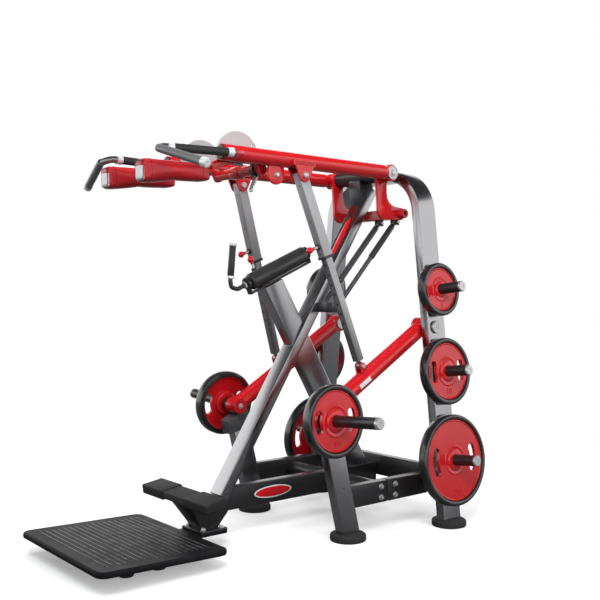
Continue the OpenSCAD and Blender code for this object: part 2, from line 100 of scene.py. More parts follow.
def turn(axis: str, degrees: float) -> Matrix:
    """Rotation about one of the axes X, Y and Z."""
    return Matrix.Rotation(math.radians(degrees), 4, axis)


def spot(x: float, y: float, z: float, *turns: Matrix) -> Matrix:
    """Place of a piece: a point of the drawing and the turns about it.

    Args:
        x, y, z: The point in millimetres.
        *turns: Rotations, applied to the piece from the last to the first.

    Returns:
        The matrix that carries a piece from the origin to its place.
    """
    place = Matrix.Translation(at(x, y, z))
    for step in turns:
        place = place @ step
    return place


def shift(x: float, y: float, z: float) -> Matrix:
    """Move within a place, in millimetres."""
    return Matrix.Translation(Vector((x, y, z)) * MM)


def lean(start: Pair, end: Pair, y: float = 0.0) -> tuple[Matrix, float]:
    """Place of a beam in an upright plane, with its own Z from start to end.

    Args:
        start: X and Z of the lower end.
        end: X and Z of the upper end.
        y: Distance of the plane from the middle.

    Returns:
        The place and the length in millimetres.
    """
    dx, dz = end[0] - start[0], end[1] - start[1]
    return spot(start[0], y, start[1], turn("Y", math.degrees(math.atan2(dx, dz)))), math.hypot(dx, dz)


def between(start: Sequence[float], end: Sequence[float]) -> tuple[Matrix, float]:
    """Place of a round bar with its own Z from start to end, and its length in millimetres."""
    p, q = at(*start), at(*end)
    aim = (q - p).to_track_quat("Z", "Y").to_matrix().to_4x4()
    return Matrix.Translation(p) @ aim, (q - p).length / MM


def bent(corners: Sequence[Sequence[float]], radius: float, steps: int = 9) -> list[Vector]:
    """Path of a bar bent at each corner.

    Args:
        corners: Ends and corners in the drawing's millimetres.
        radius: Radius of the bends.
        steps: Flats in each bend.

    Returns:
        Points of the middle line in metres.
    """
    points = [at(*corner) for corner in corners]
    path = [points[0]]
    for before, corner, after in zip(points, points[1:], points[2:]):
        u, v = (before - corner).normalized(), (after - corner).normalized()
        half = u.angle(v) / 2
        reach = min(radius * MM / math.tan(half), (before - corner).length * 0.48, (after - corner).length * 0.48)
        middle = corner + (u + v).normalized() * (reach / math.cos(half))
        start = corner + u * reach - middle
        end = corner + v * reach - middle
        path += [middle + start.slerp(end, k / steps).normalized() * start.length for k in range(steps + 1)]
    return [*path, points[-1]]


def arc(x: float, z: float, radius: float, first: float, last: float, steps: int = 14) -> list[Pair]:
    """Points on a circle from one angle to another, in degrees."""
    angles = [math.radians(first + (last - first) * k / steps) for k in range(steps + 1)]
    return [(x + radius * math.cos(a), z + radius * math.sin(a)) for a in angles]


class Bench:
    """Modelling moves on one piece at a time, made with Blender's own operators."""

    def __init__(self, nodes: dict[str, Piece]) -> None:
        """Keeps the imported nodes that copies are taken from."""
        self.nodes = nodes

    @staticmethod
    def clear() -> None:
        """Leaves edit mode and deselects everything."""
        if bpy.context.object and bpy.context.object.mode != "OBJECT":
            bpy.ops.object.mode_set(mode="OBJECT")
        bpy.ops.object.select_all(action="DESELECT")

    def single(self, piece: Piece) -> None:
        """Makes one piece the only selected and the active one."""
        self.clear()
        piece.select_set(True)
        bpy.context.view_layer.objects.active = piece

    def edit(self, piece: Piece) -> None:
        """Opens a piece in edit mode with all of it selected."""
        self.single(piece)
        bpy.ops.object.mode_set(mode="EDIT")
        bpy.ops.mesh.select_mode(type="VERT")
        bpy.ops.mesh.select_all(action="SELECT")

    def close(self, merge: bool = True) -> None:
        """Merges doubles, turns the faces outwards and leaves edit mode."""
        bpy.ops.mesh.select_all(action="SELECT")
        if merge:
            bpy.ops.mesh.remove_doubles(threshold=0.00002)
        bpy.ops.mesh.normals_make_consistent(inside=False)
        bpy.ops.object.mode_set(mode="OBJECT")

    @staticmethod
    def named(name: str) -> Piece:
        """Names the piece that was just added."""
        piece = bpy.context.object
        piece.name = name
        piece.data.name = name
        return piece

    def settle(self, piece: Piece, place: Matrix) -> Piece:
        """Carries a piece to its place and applies the move to its mesh."""
        self.single(piece)
        piece.matrix_world = place
        bpy.ops.object.transform_apply(location=True, rotation=True, scale=True)
        return piece

    def smooth(self, piece: Piece, degrees: float = 38.0) -> Piece:
        """Shades a piece smooth up to an angle between faces."""
        self.single(piece)
        bpy.ops.object.shade_smooth_by_angle(angle=math.radians(degrees))
        return piece

    def apply(self, piece: Piece, kind: str, **values: object) -> None:
        """Adds a modifier with the given values and applies it."""
        self.single(piece)
        modifier = piece.modifiers.new(kind.title(), kind)
        for key, value in values.items():
            setattr(modifier, key, value)
        bpy.ops.object.modifier_apply(modifier=modifier.name)

    def chamfer(self, piece: Piece, edge: float, steps: int = 3, degrees: float = 40.0) -> None:
        """Rounds the sharp edges of a piece by a width in millimetres."""
        self.apply(
            piece, "BEVEL", width=edge * MM, segments=steps, limit_method="ANGLE",
            angle_limit=math.radians(degrees), use_clamp_overlap=False,
        )

    def block(self, name: str, low: Triple, high: Triple, place: Matrix, edge: float = 2.0, steps: int = 3) -> Piece:
        """Box with rounded edges.

        Args:
            name: Name of the piece.
            low: Lowest corner in the piece's own frame, in millimetres.
            high: Highest corner.
            place: Where the frame sits.
            edge: Radius of the edges.
            steps: Facets of each rounded edge.

        Returns:
            The piece in its place.
        """
        self.clear()
        bpy.ops.mesh.primitive_cube_add(size=1.0)
        piece = self.named(name)
        piece.scale = [(b - a) * MM for a, b in zip(low, high)]
        piece.location = [(a + b) / 2 * MM for a, b in zip(low, high)]
        bpy.ops.object.transform_apply(location=True, rotation=True, scale=True)
        self.edit(piece)
        bpy.ops.mesh.bevel(offset=edge * MM, segments=steps, affect="EDGES")
        self.close()
        return self.smooth(self.settle(piece, place))

    @staticmethod
    def closed(outline: Sequence[Pair]) -> list[Pair]:
        """Outline of a turned piece carried on to its axis, or round to its start, so that the piece is solid."""
        points, first, last = list(outline), outline[0], outline[-1]
        if first[0] > 0 and last[0] > 0:
            return points if first == last else [*points, first]
        if first[0] > 0:
            points.insert(0, (0.0, first[1]))
        if last[0] > 0:
            points.append((0.0, last[1]))
        return points

    def lathe(self, name: str, outline: Sequence[Pair], place: Matrix, steps: int = 48) -> Piece:
        """Turned piece: an outline spun about its own Z axis.

        Args:
            name: Name of the piece.
            outline: Radius and height of each point, in millimetres.
            place: Where the axis sits.
            steps: Facets round the axis.

        Returns:
            The piece in its place.
        """
        self.clear()
        bpy.ops.mesh.primitive_plane_add(size=0.001)
        piece = self.named(name)
        self.edit(piece)
        bpy.ops.mesh.merge(type="CENTER")
        last = (0.0, 0.0)
        for index, (radius, height) in enumerate(self.closed(outline)):
            step = ((radius - last[0]) * MM, 0.0, (height - last[1]) * MM)
            if index == 0:
                bpy.ops.transform.translate(value=step)
            else:
                bpy.ops.mesh.extrude_region_move(TRANSFORM_OT_translate={"value": step})
            last = (radius, height)
        bpy.ops.mesh.select_all(action="SELECT")
        bpy.ops.mesh.spin(steps=steps, angle=math.tau, center=(0, 0, 0), axis=(0, 0, 1))
        self.close()
        return self.smooth(self.settle(piece, place))

    def plate(self, name: str, outline: Sequence[Pair], thick: float, place: Matrix, edge: float = 1.2) -> Piece:
        """Flat plate cut to an outline.

        Args:
            name: Name of the piece.
            outline: Corners in the plate's own XY plane, in millimetres.
            thick: Thickness along its own Z.
            place: Where the plate's frame sits.
            edge: Radius of its edges.

        Returns:
            The piece in its place.
        """
        self.clear()
        bpy.ops.mesh.primitive_circle_add(vertices=len(outline), radius=1.0, fill_type="NGON")
        piece = self.named(name)
        for vertex, (x, y) in zip(piece.data.vertices, outline):
            vertex.co = (x * MM, y * MM, 0.0)
        self.edit(piece)
        bpy.ops.mesh.extrude_region_move(TRANSFORM_OT_translate={"value": (0, 0, thick * MM)})
        self.close()
        if edge:
            self.chamfer(piece, edge, 2, 30.0)
        return self.smooth(self.settle(piece, place))

    def polyline(self, name: str, path: Sequence[Vector]) -> Piece:
        """Curve through the points of a path, in metres."""
        self.clear()
        bpy.ops.curve.primitive_nurbs_path_add()
        piece = self.named(name)
        piece.data.splines.clear()
        spline = piece.data.splines.new("POLY")
        spline.points.add(len(path) - 1)
        for point, place in zip(spline.points, path):
            point.co = (*place, 1.0)
        return piece

    def meshed(self, curve: Piece) -> Piece:
        """Mesh of a curve, closed and facing outwards."""
        self.single(curve)
        bpy.ops.object.convert(target="MESH")
        piece = bpy.context.object
        self.edit(piece)
        self.close()
        return piece

    def pipe(self, name: str, path: Sequence[Vector], radius: float, sides: int = 6) -> Piece:
        """Round bar bent along a path.

        Args:
            name: Name of the piece.
            path: Points of its middle line, in metres.
            radius: Its radius in millimetres.
            sides: Facets of a quarter of its section.

        Returns:
            The piece as a mesh.
        """
        piece = self.polyline(name, path)
        piece.data.bevel_depth = radius * MM
        piece.data.bevel_resolution = sides - 1
        piece.data.use_fill_caps = True
        return self.smooth(self.meshed(piece), 50.0)

    def softened(self, node: str, edge: float, name: str = "", degrees: float = 40.0) -> Piece:
        """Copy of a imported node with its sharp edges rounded.

        Args:
            node: Name of the node.
            edge: Radius of the edges in millimetres.
            name: Name of the copy, or the node's name with a tail.
            degrees: Edges sharper than this are rounded.

        Returns:
            The copy.
        """
        self.single(self.nodes[node])
        bpy.ops.object.duplicate()
        piece = self.named(name or f"{node}_body")
        bpy.ops.object.parent_clear(type="CLEAR_KEEP_TRANSFORM")
        if piece.data.has_custom_normals:
            bpy.ops.mesh.customdata_custom_splitnormals_clear()
        self.edit(piece)
        bpy.ops.mesh.remove_doubles(threshold=0.00002)
        bpy.ops.mesh.dissolve_limited(angle_limit=math.radians(1.0))
        bpy.ops.object.mode_set(mode="OBJECT")
        if edge:
            self.chamfer(piece, edge, 2, degrees)
        return self.smooth(piece)

    def trim(self, piece: Piece, point: Vector, normal: Sequence[float]) -> None:
        """Cuts away what lies beyond a plane and closes the cut."""
        self.edit(piece)
        bpy.ops.mesh.bisect(plane_co=point, plane_no=normal, use_fill=True, clear_outer=True)
        self.close()
        self.smooth(piece)

    def bore(self, piece: Piece, *cutters: Piece) -> Piece:
        """Cuts other pieces out of a piece and removes them."""
        cutter = self.weld("cutter", *cutters)
        self.apply(piece, "BOOLEAN", operation="DIFFERENCE", solver="EXACT", object=cutter)
        bpy.data.objects.remove(cutter, do_unlink=True)
        return self.smooth(piece)

    def weld(self, name: str, *pieces: Piece) -> Piece:
        """Joins pieces into one object."""
        self.clear()
        for piece in pieces:
            piece.select_set(True)
        bpy.context.view_layer.objects.active = pieces[0]
        if len(pieces) > 1:
            bpy.ops.object.join()
        return self.named(name)

    def twin(self, piece: Piece, name: str, place: Matrix | None = None) -> Piece:
        """Copy of a piece with its own mesh, carried by a further move."""
        self.single(piece)
        bpy.ops.object.duplicate()
        copy = self.named(name)
        return self.settle(copy, place) if place else copy

    def mirrored(self, piece: Piece, name: str) -> Piece:
        """Copy of a piece on the other side of the middle plane."""
        copy = self.twin(piece, name, Matrix.Diagonal((1.0, -1.0, 1.0, 1.0)))
        self.edit(copy)
        self.close(merge=False)
        return copy

    def repeated(self, name: str, piece: Piece, places: Iterable[Matrix]) -> Piece:
        """Copies of a piece that was made at the origin, joined into one piece."""
        copies = [self.twin(piece, f"{name}_{index}", place) for index, place in enumerate(places)]
        bpy.data.objects.remove(piece, do_unlink=True)
        return self.weld(name, *copies)


Inputs = dict[str, object]


class Graph:
    """Small builder of shader nodes in one tree."""

    def __init__(self, tree: bpy.types.NodeTree) -> None:
        """Keeps the tree that nodes are added to."""
        self.tree = tree

    def add(self, kind: str, inputs: Inputs | None = None, **settings: object) -> bpy.types.Node:
        """Adds a node.

        Args:
            kind: The node's type without its common first part.
            inputs: Values or sockets by the name or number of the input.
            **settings: Properties of the node.

        Returns:
            The node.
        """
        node = self.tree.nodes.new(f"ShaderNode{kind}")
        for key, value in settings.items():
            setattr(node, key, value)
        for key, value in (inputs or {}).items():
            if isinstance(value, Socket):
                self.tree.links.new(value, node.inputs[key])
            else:
                node.inputs[key].default_value = value
        return node

    def noise(self, vector: Socket, scale: object, detail: float = 3.0) -> Socket:
        """Value of a noise texture."""
        return self.add("TexNoise", {"Vector": vector, "Scale": scale, "Detail": detail}).outputs[0]

    def remap(self, value: Socket, span: Pair, to: Pair = (0.0, 1.0)) -> Socket:
        """Value carried from one span to another and kept inside it."""
        inputs = {0: value, 1: span[0], 2: span[1], 3: to[0], 4: to[1]}
        return self.add("MapRange", inputs, clamp=True).outputs[0]

    def math(self, task: str, a: object, b: object = 0.0) -> Socket:
        """Result of one sum."""
        return self.add("Math", {0: a, 1: b}, operation=task).outputs[0]

    def stretch(self, vector: Socket, scale: Triple, degrees: Triple = (0, 0, 0)) -> Socket:
        """Coordinates stretched and turned by a Mapping node."""
        angles = tuple(math.radians(a) for a in degrees)
        return self.add("Mapping", {"Vector": vector, "Scale": scale, "Rotation": angles}).outputs[0]

    def mix(self, mask: object, a: object, b: object) -> Socket:
        """Colour between two colours."""
        node = self.add("Mix", data_type="RGBA")
        colours = [s for s in node.inputs if s.type == "RGBA"]
        for socket, value in ((node.inputs[0], mask), (colours[0], a), (colours[1], b)):
            if isinstance(value, Socket):
                self.tree.links.new(value, socket)
            else:
                socket.default_value = value if isinstance(value, float) else (*value[:3], 1.0)
        return next(s for s in node.outputs if s.type == "RGBA")


def node_group(
    name: str, inputs: dict[str, float | None], outputs: Sequence[str],
    wire: Callable[[Graph, bpy.types.Node], dict[str, Socket]],
) -> bpy.types.NodeTree:
    """Shader effect that several finishes share, built once.

    Args:
        name: Name of the group.
        inputs: Name and default of each value, with None for a vector.
        outputs: Names of the values that come out.
        wire: Builds the inside and returns a socket for each output.

    Returns:
        The group.
    """
    if name in bpy.data.node_groups:
        return bpy.data.node_groups[name]
    tree = bpy.data.node_groups.new(name, "ShaderNodeTree")
    for key, default in inputs.items():
        kind = "NodeSocketVector" if default is None else "NodeSocketFloat"
        socket = tree.interface.new_socket(key, in_out="INPUT", socket_type=kind)
        if default is not None:
            socket.default_value = default
    for key in outputs:
        tree.interface.new_socket(key, in_out="OUTPUT", socket_type="NodeSocketFloat")
    start, end = tree.nodes.new("NodeGroupInput"), tree.nodes.new("NodeGroupOutput")
    for key, socket in wire(Graph(tree), start).items():
        tree.links.new(socket, end.inputs[key])
    return tree


def coat_skin() -> bpy.types.NodeTree:
    """Sprayed or powdered coat: slow change of tone, fine peel and sparse rubbed marks."""

    def wire(graph: Graph, start: bpy.types.Node) -> dict[str, Socket]:
        """Builds the three patterns."""
        vector = start.outputs["Vector"]
        tone = graph.remap(graph.noise(vector, start.outputs["Patch"], 4.0), (0.35, 0.65))
        height = graph.noise(vector, start.outputs["Peel"], 2.0)
        streak = graph.noise(graph.stretch(vector, (9.0, 60.0, 160.0), (20, 35, 10)), 1.0, 5.0)
        place = graph.remap(graph.noise(vector, 7.0, 6.0), (0.58, 0.72))
        scuff = graph.math("MULTIPLY", graph.remap(streak, (0.60, 0.72)), place)
        return {"Tone": tone, "Height": height, "Scuff": scuff}

    return node_group("coat_skin", {"Vector": None, "Patch": 6.0, "Peel": 900.0}, ("Tone", "Height", "Scuff"), wire)


def pebble_skin() -> bpy.types.NodeTree:
    """Moulded or grained skin: rounded cells with soft hollows between them."""

    def wire(graph: Graph, start: bpy.types.Node) -> dict[str, Socket]:
        """Builds the cells and the slow change of tone."""
        vector = start.outputs["Vector"]
        inputs = {"Vector": vector, "Scale": start.outputs["Cells"], "Smoothness": 0.6}
        cells = graph.add("TexVoronoi", inputs, feature="SMOOTH_F1").outputs[0]
        fine = graph.noise(vector, 2200.0, 2.0)
        height = graph.math("ADD", graph.remap(cells, (0.0, 0.7), (1.0, 0.0)), graph.math("MULTIPLY", fine, 0.25))
        tone = graph.remap(graph.noise(vector, start.outputs["Patch"], 5.0), (0.3, 0.7))
        return {"Height": height, "Tone": tone}

    return node_group("pebble_skin", {"Vector": None, "Cells": 500.0, "Patch": 9.0}, ("Height", "Tone"), wire)


def brushed_skin() -> bpy.types.NodeTree:
    """Drawn or brushed metal: long fine lines along one direction."""

    def wire(graph: Graph, start: bpy.types.Node) -> dict[str, Socket]:
        """Builds the lines and faint stains."""
        lines = graph.noise(start.outputs["Vector"], 1.0, 4.0)
        stain = graph.remap(graph.noise(start.outputs["Flat"], 11.0, 5.0), (0.35, 0.75))
        return {"Lines": lines, "Stain": stain}

    return node_group("brushed_skin", {"Vector": None, "Flat": None}, ("Lines", "Stain"), wire)


@dataclass(frozen=True)
class Finish:
    """Look of a surface: a colour, a second tone and the sheen that goes with them."""

    name: str
    colour: Triple
    shade: Triple
    rough: Pair = (0.3, 0.4)
    metal: float = 0.0
    coat: float = 0.0
    coat_rough: float = 0.06
    relief: float = 0.1
    mirror: float = 0.5

    def material(self) -> bpy.types.Material:
        """Material of this finish, made on first use."""
        if self.name in bpy.data.materials:
            return bpy.data.materials[self.name]
        material = bpy.data.materials.new(self.name)
        material.use_nodes = True
        material.diffuse_color = (*self.colour, 1.0)
        tree = material.node_tree
        shader = tree.nodes["Principled BSDF"]
        shader.inputs["Metallic"].default_value = self.metal
        shader.inputs["Coat Weight"].default_value = self.coat
        shader.inputs["Specular IOR Level"].default_value = self.mirror
        shader.inputs["Coat Roughness"].default_value = self.coat_rough
        graph = Graph(tree)
        self.wire(graph, shader, graph.add("TexCoord").outputs["Object"])
        return material

    def wire(self, graph: Graph, shader: bpy.types.Node, vector: Socket) -> None:
        """Links colour, roughness and relief; each kind of finish has its own way."""
        raise NotImplementedError

    def link(
        self, graph: Graph, shader: bpy.types.Node, colour: object, rough: object, height: object, reach: float
    ) -> None:
        """Links the three results to the shader.

        Args:
            graph: Builder of the material's tree.
            shader: Its Principled BSDF.
            colour: Socket of the colour.
            rough: Socket of the roughness.
            height: Socket of the relief.
            reach: Depth of the relief in metres.
        """
        graph.tree.links.new(colour, shader.inputs["Base Color"])
        graph.tree.links.new(rough, shader.inputs["Roughness"])
        inputs = {"Height": height, "Strength": self.relief, "Distance": reach}
        graph.tree.links.new(graph.add("Bump", inputs).outputs[0], shader.inputs["Normal"])


@dataclass(frozen=True)
class Paint(Finish):
    """Gloss or satin coat on metal, with a fine peel and rubbed marks."""

    patch: float = 6.0
    peel: float = 700.0
    scuff: float = 0.25
    bare: Triple = (0.3, 0.3, 0.3)

    def wire(self, graph: Graph, shader: bpy.types.Node, vector: Socket) -> None:
        """Tone follows slow patches, and marks show a paler colour and a duller sheen."""
        skin = graph.add("Group", node_tree=coat_skin())
        graph.tree.links.new(vector, skin.inputs["Vector"])
        skin.inputs["Patch"].default_value = self.patch
        skin.inputs["Peel"].default_value = self.peel
        colour = graph.mix(skin.outputs["Tone"], self.colour, self.shade)
        marks = graph.math("MULTIPLY", skin.outputs["Scuff"], self.scuff)
        colour = graph.mix(marks, colour, self.bare)
        rough = graph.remap(skin.outputs["Tone"], (0.0, 1.0), self.rough)
        rough = graph.math("ADD", rough, graph.math("MULTIPLY", marks, 0.35))
        self.link(graph, shader, colour, rough, skin.outputs["Height"], 0.0001)


@dataclass(frozen=True)
class Metal(Finish):
    """Bare, plated or polished metal with drawn lines along one direction."""

    grain: Triple = (900.0, 900.0, 14.0)

    def wire(self, graph: Graph, shader: bpy.types.Node, vector: Socket) -> None:
        """Lines move the roughness, and stains move the colour."""
        skin = graph.add("Group", node_tree=brushed_skin())
        graph.tree.links.new(graph.stretch(vector, self.grain), skin.inputs["Vector"])
        graph.tree.links.new(vector, skin.inputs["Flat"])
        colour = graph.mix(skin.outputs["Stain"], self.colour, self.shade)
        rough = graph.remap(skin.outputs["Lines"], (0.3, 0.7), self.rough)
        self.link(graph, shader, colour, rough, skin.outputs["Lines"], 0.00004)


@dataclass(frozen=True)
class Moulded(Finish):
    """Rubber, plastic or vinyl with a moulded or grained skin."""

    cells: float = 500.0
    patch: float = 9.0
    reach: float = 0.0002

    def wire(self, graph: Graph, shader: bpy.types.Node, vector: Socket) -> None:
        """Hollows of the skin are duller and a little darker."""
        skin = graph.add("Group", node_tree=pebble_skin())
        graph.tree.links.new(vector, skin.inputs["Vector"])
        skin.inputs["Cells"].default_value = self.cells
        skin.inputs["Patch"].default_value = self.patch
        colour = graph.mix(skin.outputs["Tone"], self.colour, self.shade)
        rough = graph.remap(skin.outputs["Tone"], (0.0, 1.0), self.rough)
        self.link(graph, shader, colour, rough, skin.outputs["Height"], self.reach)


class Finishes:
    """The machine's finishes, by the piece they belong to."""

    GRAPHITE = Paint("graphite_coat", (0.40, 0.40, 0.415), (0.385, 0.385, 0.40), (0.21, 0.24), 1.0, 0.1, 0.14,
                     relief=0.04, patch=2.5, peel=1100.0, scuff=0.05, bare=(0.30, 0.30, 0.30))
    CHARCOAL = Paint("charcoal_coat", (0.075, 0.075, 0.079), (0.065, 0.065, 0.069), (0.30, 0.36), 0.8, 0.1, 0.2,
                     relief=0.08, patch=5.0, peel=1000.0, scuff=0.25, bare=(0.16, 0.16, 0.16))
    RED = Paint("red_gloss_coat", (0.56, 0.008, 0.013), (0.53, 0.007, 0.012), (0.20, 0.26), 0.0, 0.4, 0.08,
                relief=0.04, patch=4.0, peel=800.0, scuff=0.08, bare=(0.72, 0.12, 0.11))
    SILVER = Metal("satin_silver", (0.42, 0.42, 0.435), (0.38, 0.38, 0.395), (0.36, 0.44), 0.6, relief=0.05)
    DARK_TUBE = Metal("dark_drawn_tube", (0.36, 0.36, 0.375), (0.31, 0.31, 0.325), (0.24, 0.32), 0.95, relief=0.05)
    ZINC = Metal("zinc_plated", (0.62, 0.62, 0.62), (0.52, 0.52, 0.52), (0.24, 0.36), 0.7, relief=0.08)
    CHROME = Metal("polished_chrome", (0.80, 0.80, 0.81), (0.74, 0.74, 0.75), (0.05, 0.09), 1.0, relief=0.02)
    DISC = Paint("pale_grey_coat", (0.46, 0.45, 0.45), (0.42, 0.41, 0.41), (0.30, 0.38), 0.0, 0.15, 0.2, relief=0.05,
                 patch=5.0, peel=900.0, scuff=0.2, bare=(0.40, 0.39, 0.39))
    RUBBER = Moulded("black_rubber", (0.016, 0.016, 0.017), (0.026, 0.026, 0.027), (0.48, 0.62), relief=0.3,
                     mirror=0.12, cells=900.0)
    SLEEVE = Moulded("pebbled_rubber", (0.016, 0.016, 0.017), (0.034, 0.034, 0.035), (0.50, 0.62), relief=0.8,
                     mirror=0.10, cells=260.0, reach=0.0012)
    GRIP = Moulded("grip_rubber", (0.018, 0.018, 0.019), (0.028, 0.028, 0.029), (0.42, 0.55), relief=0.35, cells=700.0)
    PLASTIC = Moulded("black_plastic", (0.022, 0.022, 0.023), (0.030, 0.030, 0.031), (0.30, 0.40), relief=0.12,
                      cells=1100.0)
    KNOB = Moulded("red_knob", (0.64, 0.010, 0.016), (0.58, 0.008, 0.013), (0.10, 0.16), coat=0.5, relief=0.02,
                   cells=300.0)
    VINYL = Moulded("red_vinyl", (0.45, 0.009, 0.016), (0.39, 0.007, 0.013), (0.32, 0.40), coat=0.2, coat_rough=0.2,
                    relief=0.22, cells=650.0, reach=0.0004)
    PALE_VINYL = Moulded("pale_vinyl", (0.80, 0.79, 0.79), (0.74, 0.73, 0.73), (0.32, 0.42), coat=0.2, coat_rough=0.2,
                         relief=0.2, cells=650.0, reach=0.0004)
    PIPING = Moulded("dark_piping", (0.030, 0.008, 0.010), (0.040, 0.010, 0.012), (0.40, 0.50), relief=0.2, cells=900.0)
    PLATE_RUBBER = Moulded("plate_rubber", (0.010, 0.010, 0.011), (0.016, 0.016, 0.017), (0.24, 0.32), relief=0.1,
                           cells=1000.0, coat=0.8, coat_rough=0.12)
    PLATE_FACE = Paint("cast_red_face", (0.56, 0.008, 0.013), (0.50, 0.007, 0.011), (0.24, 0.34), 0.0, 0.5, 0.12,
                       relief=0.3, patch=7.0, peel=420.0, scuff=0.2, bare=(0.74, 0.14, 0.13))
    BOARD = Moulded("platform_rubber", (0.010, 0.010, 0.011), (0.016, 0.016, 0.017), (0.36, 0.48), relief=0.35,
                    mirror=0.03, cells=420.0, patch=14.0)
    RIBS = Paint("worn_ribs", (0.016, 0.016, 0.017), (0.16, 0.16, 0.16), (0.32, 0.44), relief=0.1, mirror=0.3,
                 patch=26.0, scuff=1.0, bare=(0.60, 0.59, 0.58))
    COLLAR = Metal("bright_collar", (0.80, 0.80, 0.81), (0.72, 0.72, 0.73), (0.30, 0.38), 0.35, relief=0.03)
    HAND = Metal("grey_sleeve", (0.21, 0.21, 0.215), (0.17, 0.17, 0.175), (0.36, 0.44), 0.45, relief=0.05)
    BUMPER = Moulded("worn_rubber", (0.045, 0.045, 0.048), (0.095, 0.095, 0.10), (0.40, 0.52), relief=0.3,
                     cells=300.0, patch=22.0)
    BELLOWS = Metal("coil_steel", (0.20, 0.20, 0.205), (0.15, 0.15, 0.155), (0.24, 0.34), 0.7, relief=0.05)
    ROLLER = Moulded("roller_foam", (0.022, 0.022, 0.023), (0.030, 0.030, 0.031), (0.30, 0.38), relief=0.2,
                     cells=800.0, coat=0.25, coat_rough=0.25)


@dataclass
class Assembly:
    """Group of pieces that are made together."""

    bench: Bench

    @staticmethod
    def hand_over(piece: Piece, body: str, slot: str, finish: Finish, *nodes: str) -> None:
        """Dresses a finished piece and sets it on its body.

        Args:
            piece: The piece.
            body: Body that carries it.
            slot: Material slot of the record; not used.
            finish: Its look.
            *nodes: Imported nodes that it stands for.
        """
        piece.data.materials.clear()
        piece.data.materials.append(finish.material())
        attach(piece, body)
        if nodes:
            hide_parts(*nodes)
        LOG.info("%s rides on %s", piece.name, body)

    def pair(self, piece: Piece, body: str, slot: str, finish: Finish, *nodes: str) -> None:
        """Hands over a piece of the left side and its mirrored twin.

        Args:
            piece: The piece on the left, whose name is the stem of both names.
            body: Body that carries it, with {side} for the side's word.
            slot: Material slot of the record.
            finish: Its look.
            *nodes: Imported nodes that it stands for, with {side} likewise.
        """
        stem = piece.name
        right = self.bench.mirrored(piece, f"{stem}_{Side.RIGHT.word}")
        piece.name = piece.data.name = f"{stem}_{Side.LEFT.word}"
        for side, half in ((Side.LEFT, piece), (Side.RIGHT, right)):
            word = side.word
            self.hand_over(half, body.format(side=word), slot, finish, *[n.format(side=word) for n in nodes])

    def hex_bolt(self, name: str, across: float, places: Iterable[Matrix]) -> Piece:
        """Hexagon bolts on washers, one at each place, with the head along the place's own Z.

        Args:
            name: Name of the piece.
            across: Width of the head across its corners, in millimetres.
            places: Where the washers lie.

        Returns:
            All the bolts as one piece.
        """
        r = across / 2
        washer = self.bench.lathe(
            "washer", [(0, 0), (r * 1.32, 0), (r * 1.36, 0.5), (r * 1.36, 1.6), (r * 1.3, 2.1), (0, 2.1)], Matrix(), 32
        )
        head = self.bench.lathe(
            "head", [(0, 2.0), (r, 2.0), (r, r * 0.95), (r * 0.9, r * 1.1), (r * 0.55, r * 1.12), (r * 0.5, r * 1.0),
                     (0, r * 1.0)], Matrix(), 6,
        )
        return self.bench.repeated(name, self.bench.weld("bolt", washer, head), places)

    def ball(self, name: str, place: Matrix, radius: float = 15.0) -> Piece:
        """Ball knob with a short neck towards its stem."""
        outline = [(0, -radius - 8), (6.5, -radius - 8), (8.2, -radius - 6), (8.6, -radius - 2), (7.0, -radius * 0.9)]
        outline += [(radius * math.cos(a), radius * math.sin(a)) for a in
                    [math.radians(-58 + 148 * k / 14) for k in range(14)]]
        return self.bench.lathe(name, [*outline, (0, radius)], place, 32)

    def spring_pins(self, name: str, point: Pair, rows: Iterable[float]) -> Piece:
        """Headed pins across the machine, one for each row of the springs."""
        outline = [(0, -21), (6, -21), (6, 20), (9, 20), (9, 26), (7, 28), (0, 28)]
        pins = [self.bench.lathe("pin", outline, spot(point[0], y, point[1], turn("X", 90)), 24) for y in rows]
        return self.bench.weld(name, *pins)

    @staticmethod
    def peg_tip(reach: float, back: float, lip: float) -> list[Pair]:
        """Outline of a peg's bright end: how far it reaches, how far back it starts and the radius of its lip."""
        return [(0, reach - back), (24.6, reach - back), (24.6, reach - 4), (lip, reach), (8, reach), (6, reach - 2),
                (0, reach - 2)]

    def bead(self, path: Sequence[Vector], radius: float = 3.6) -> Piece:
        """Weld bead along a path, with the ripples of its runs.

        Args:
            path: Corners of the seam, in metres.
            radius: Mean radius of the bead in millimetres.

        Returns:
            The bead.
        """
        points: list[Vector] = []
        for start, end in zip(path, path[1:]):
            count = max(2, round((end - start).length / 0.004))
            points += [start.lerp(end, k / count) for k in range(count)]
        bead = self.bench.pipe("bead", [*points, path[-1]], radius, 3)
        for index, vertex in enumerate(bead.data.vertices):
            ripple = 0.0007 * math.sin(1.9 * (index // 12))
            vertex.co.z += ripple
        return bead


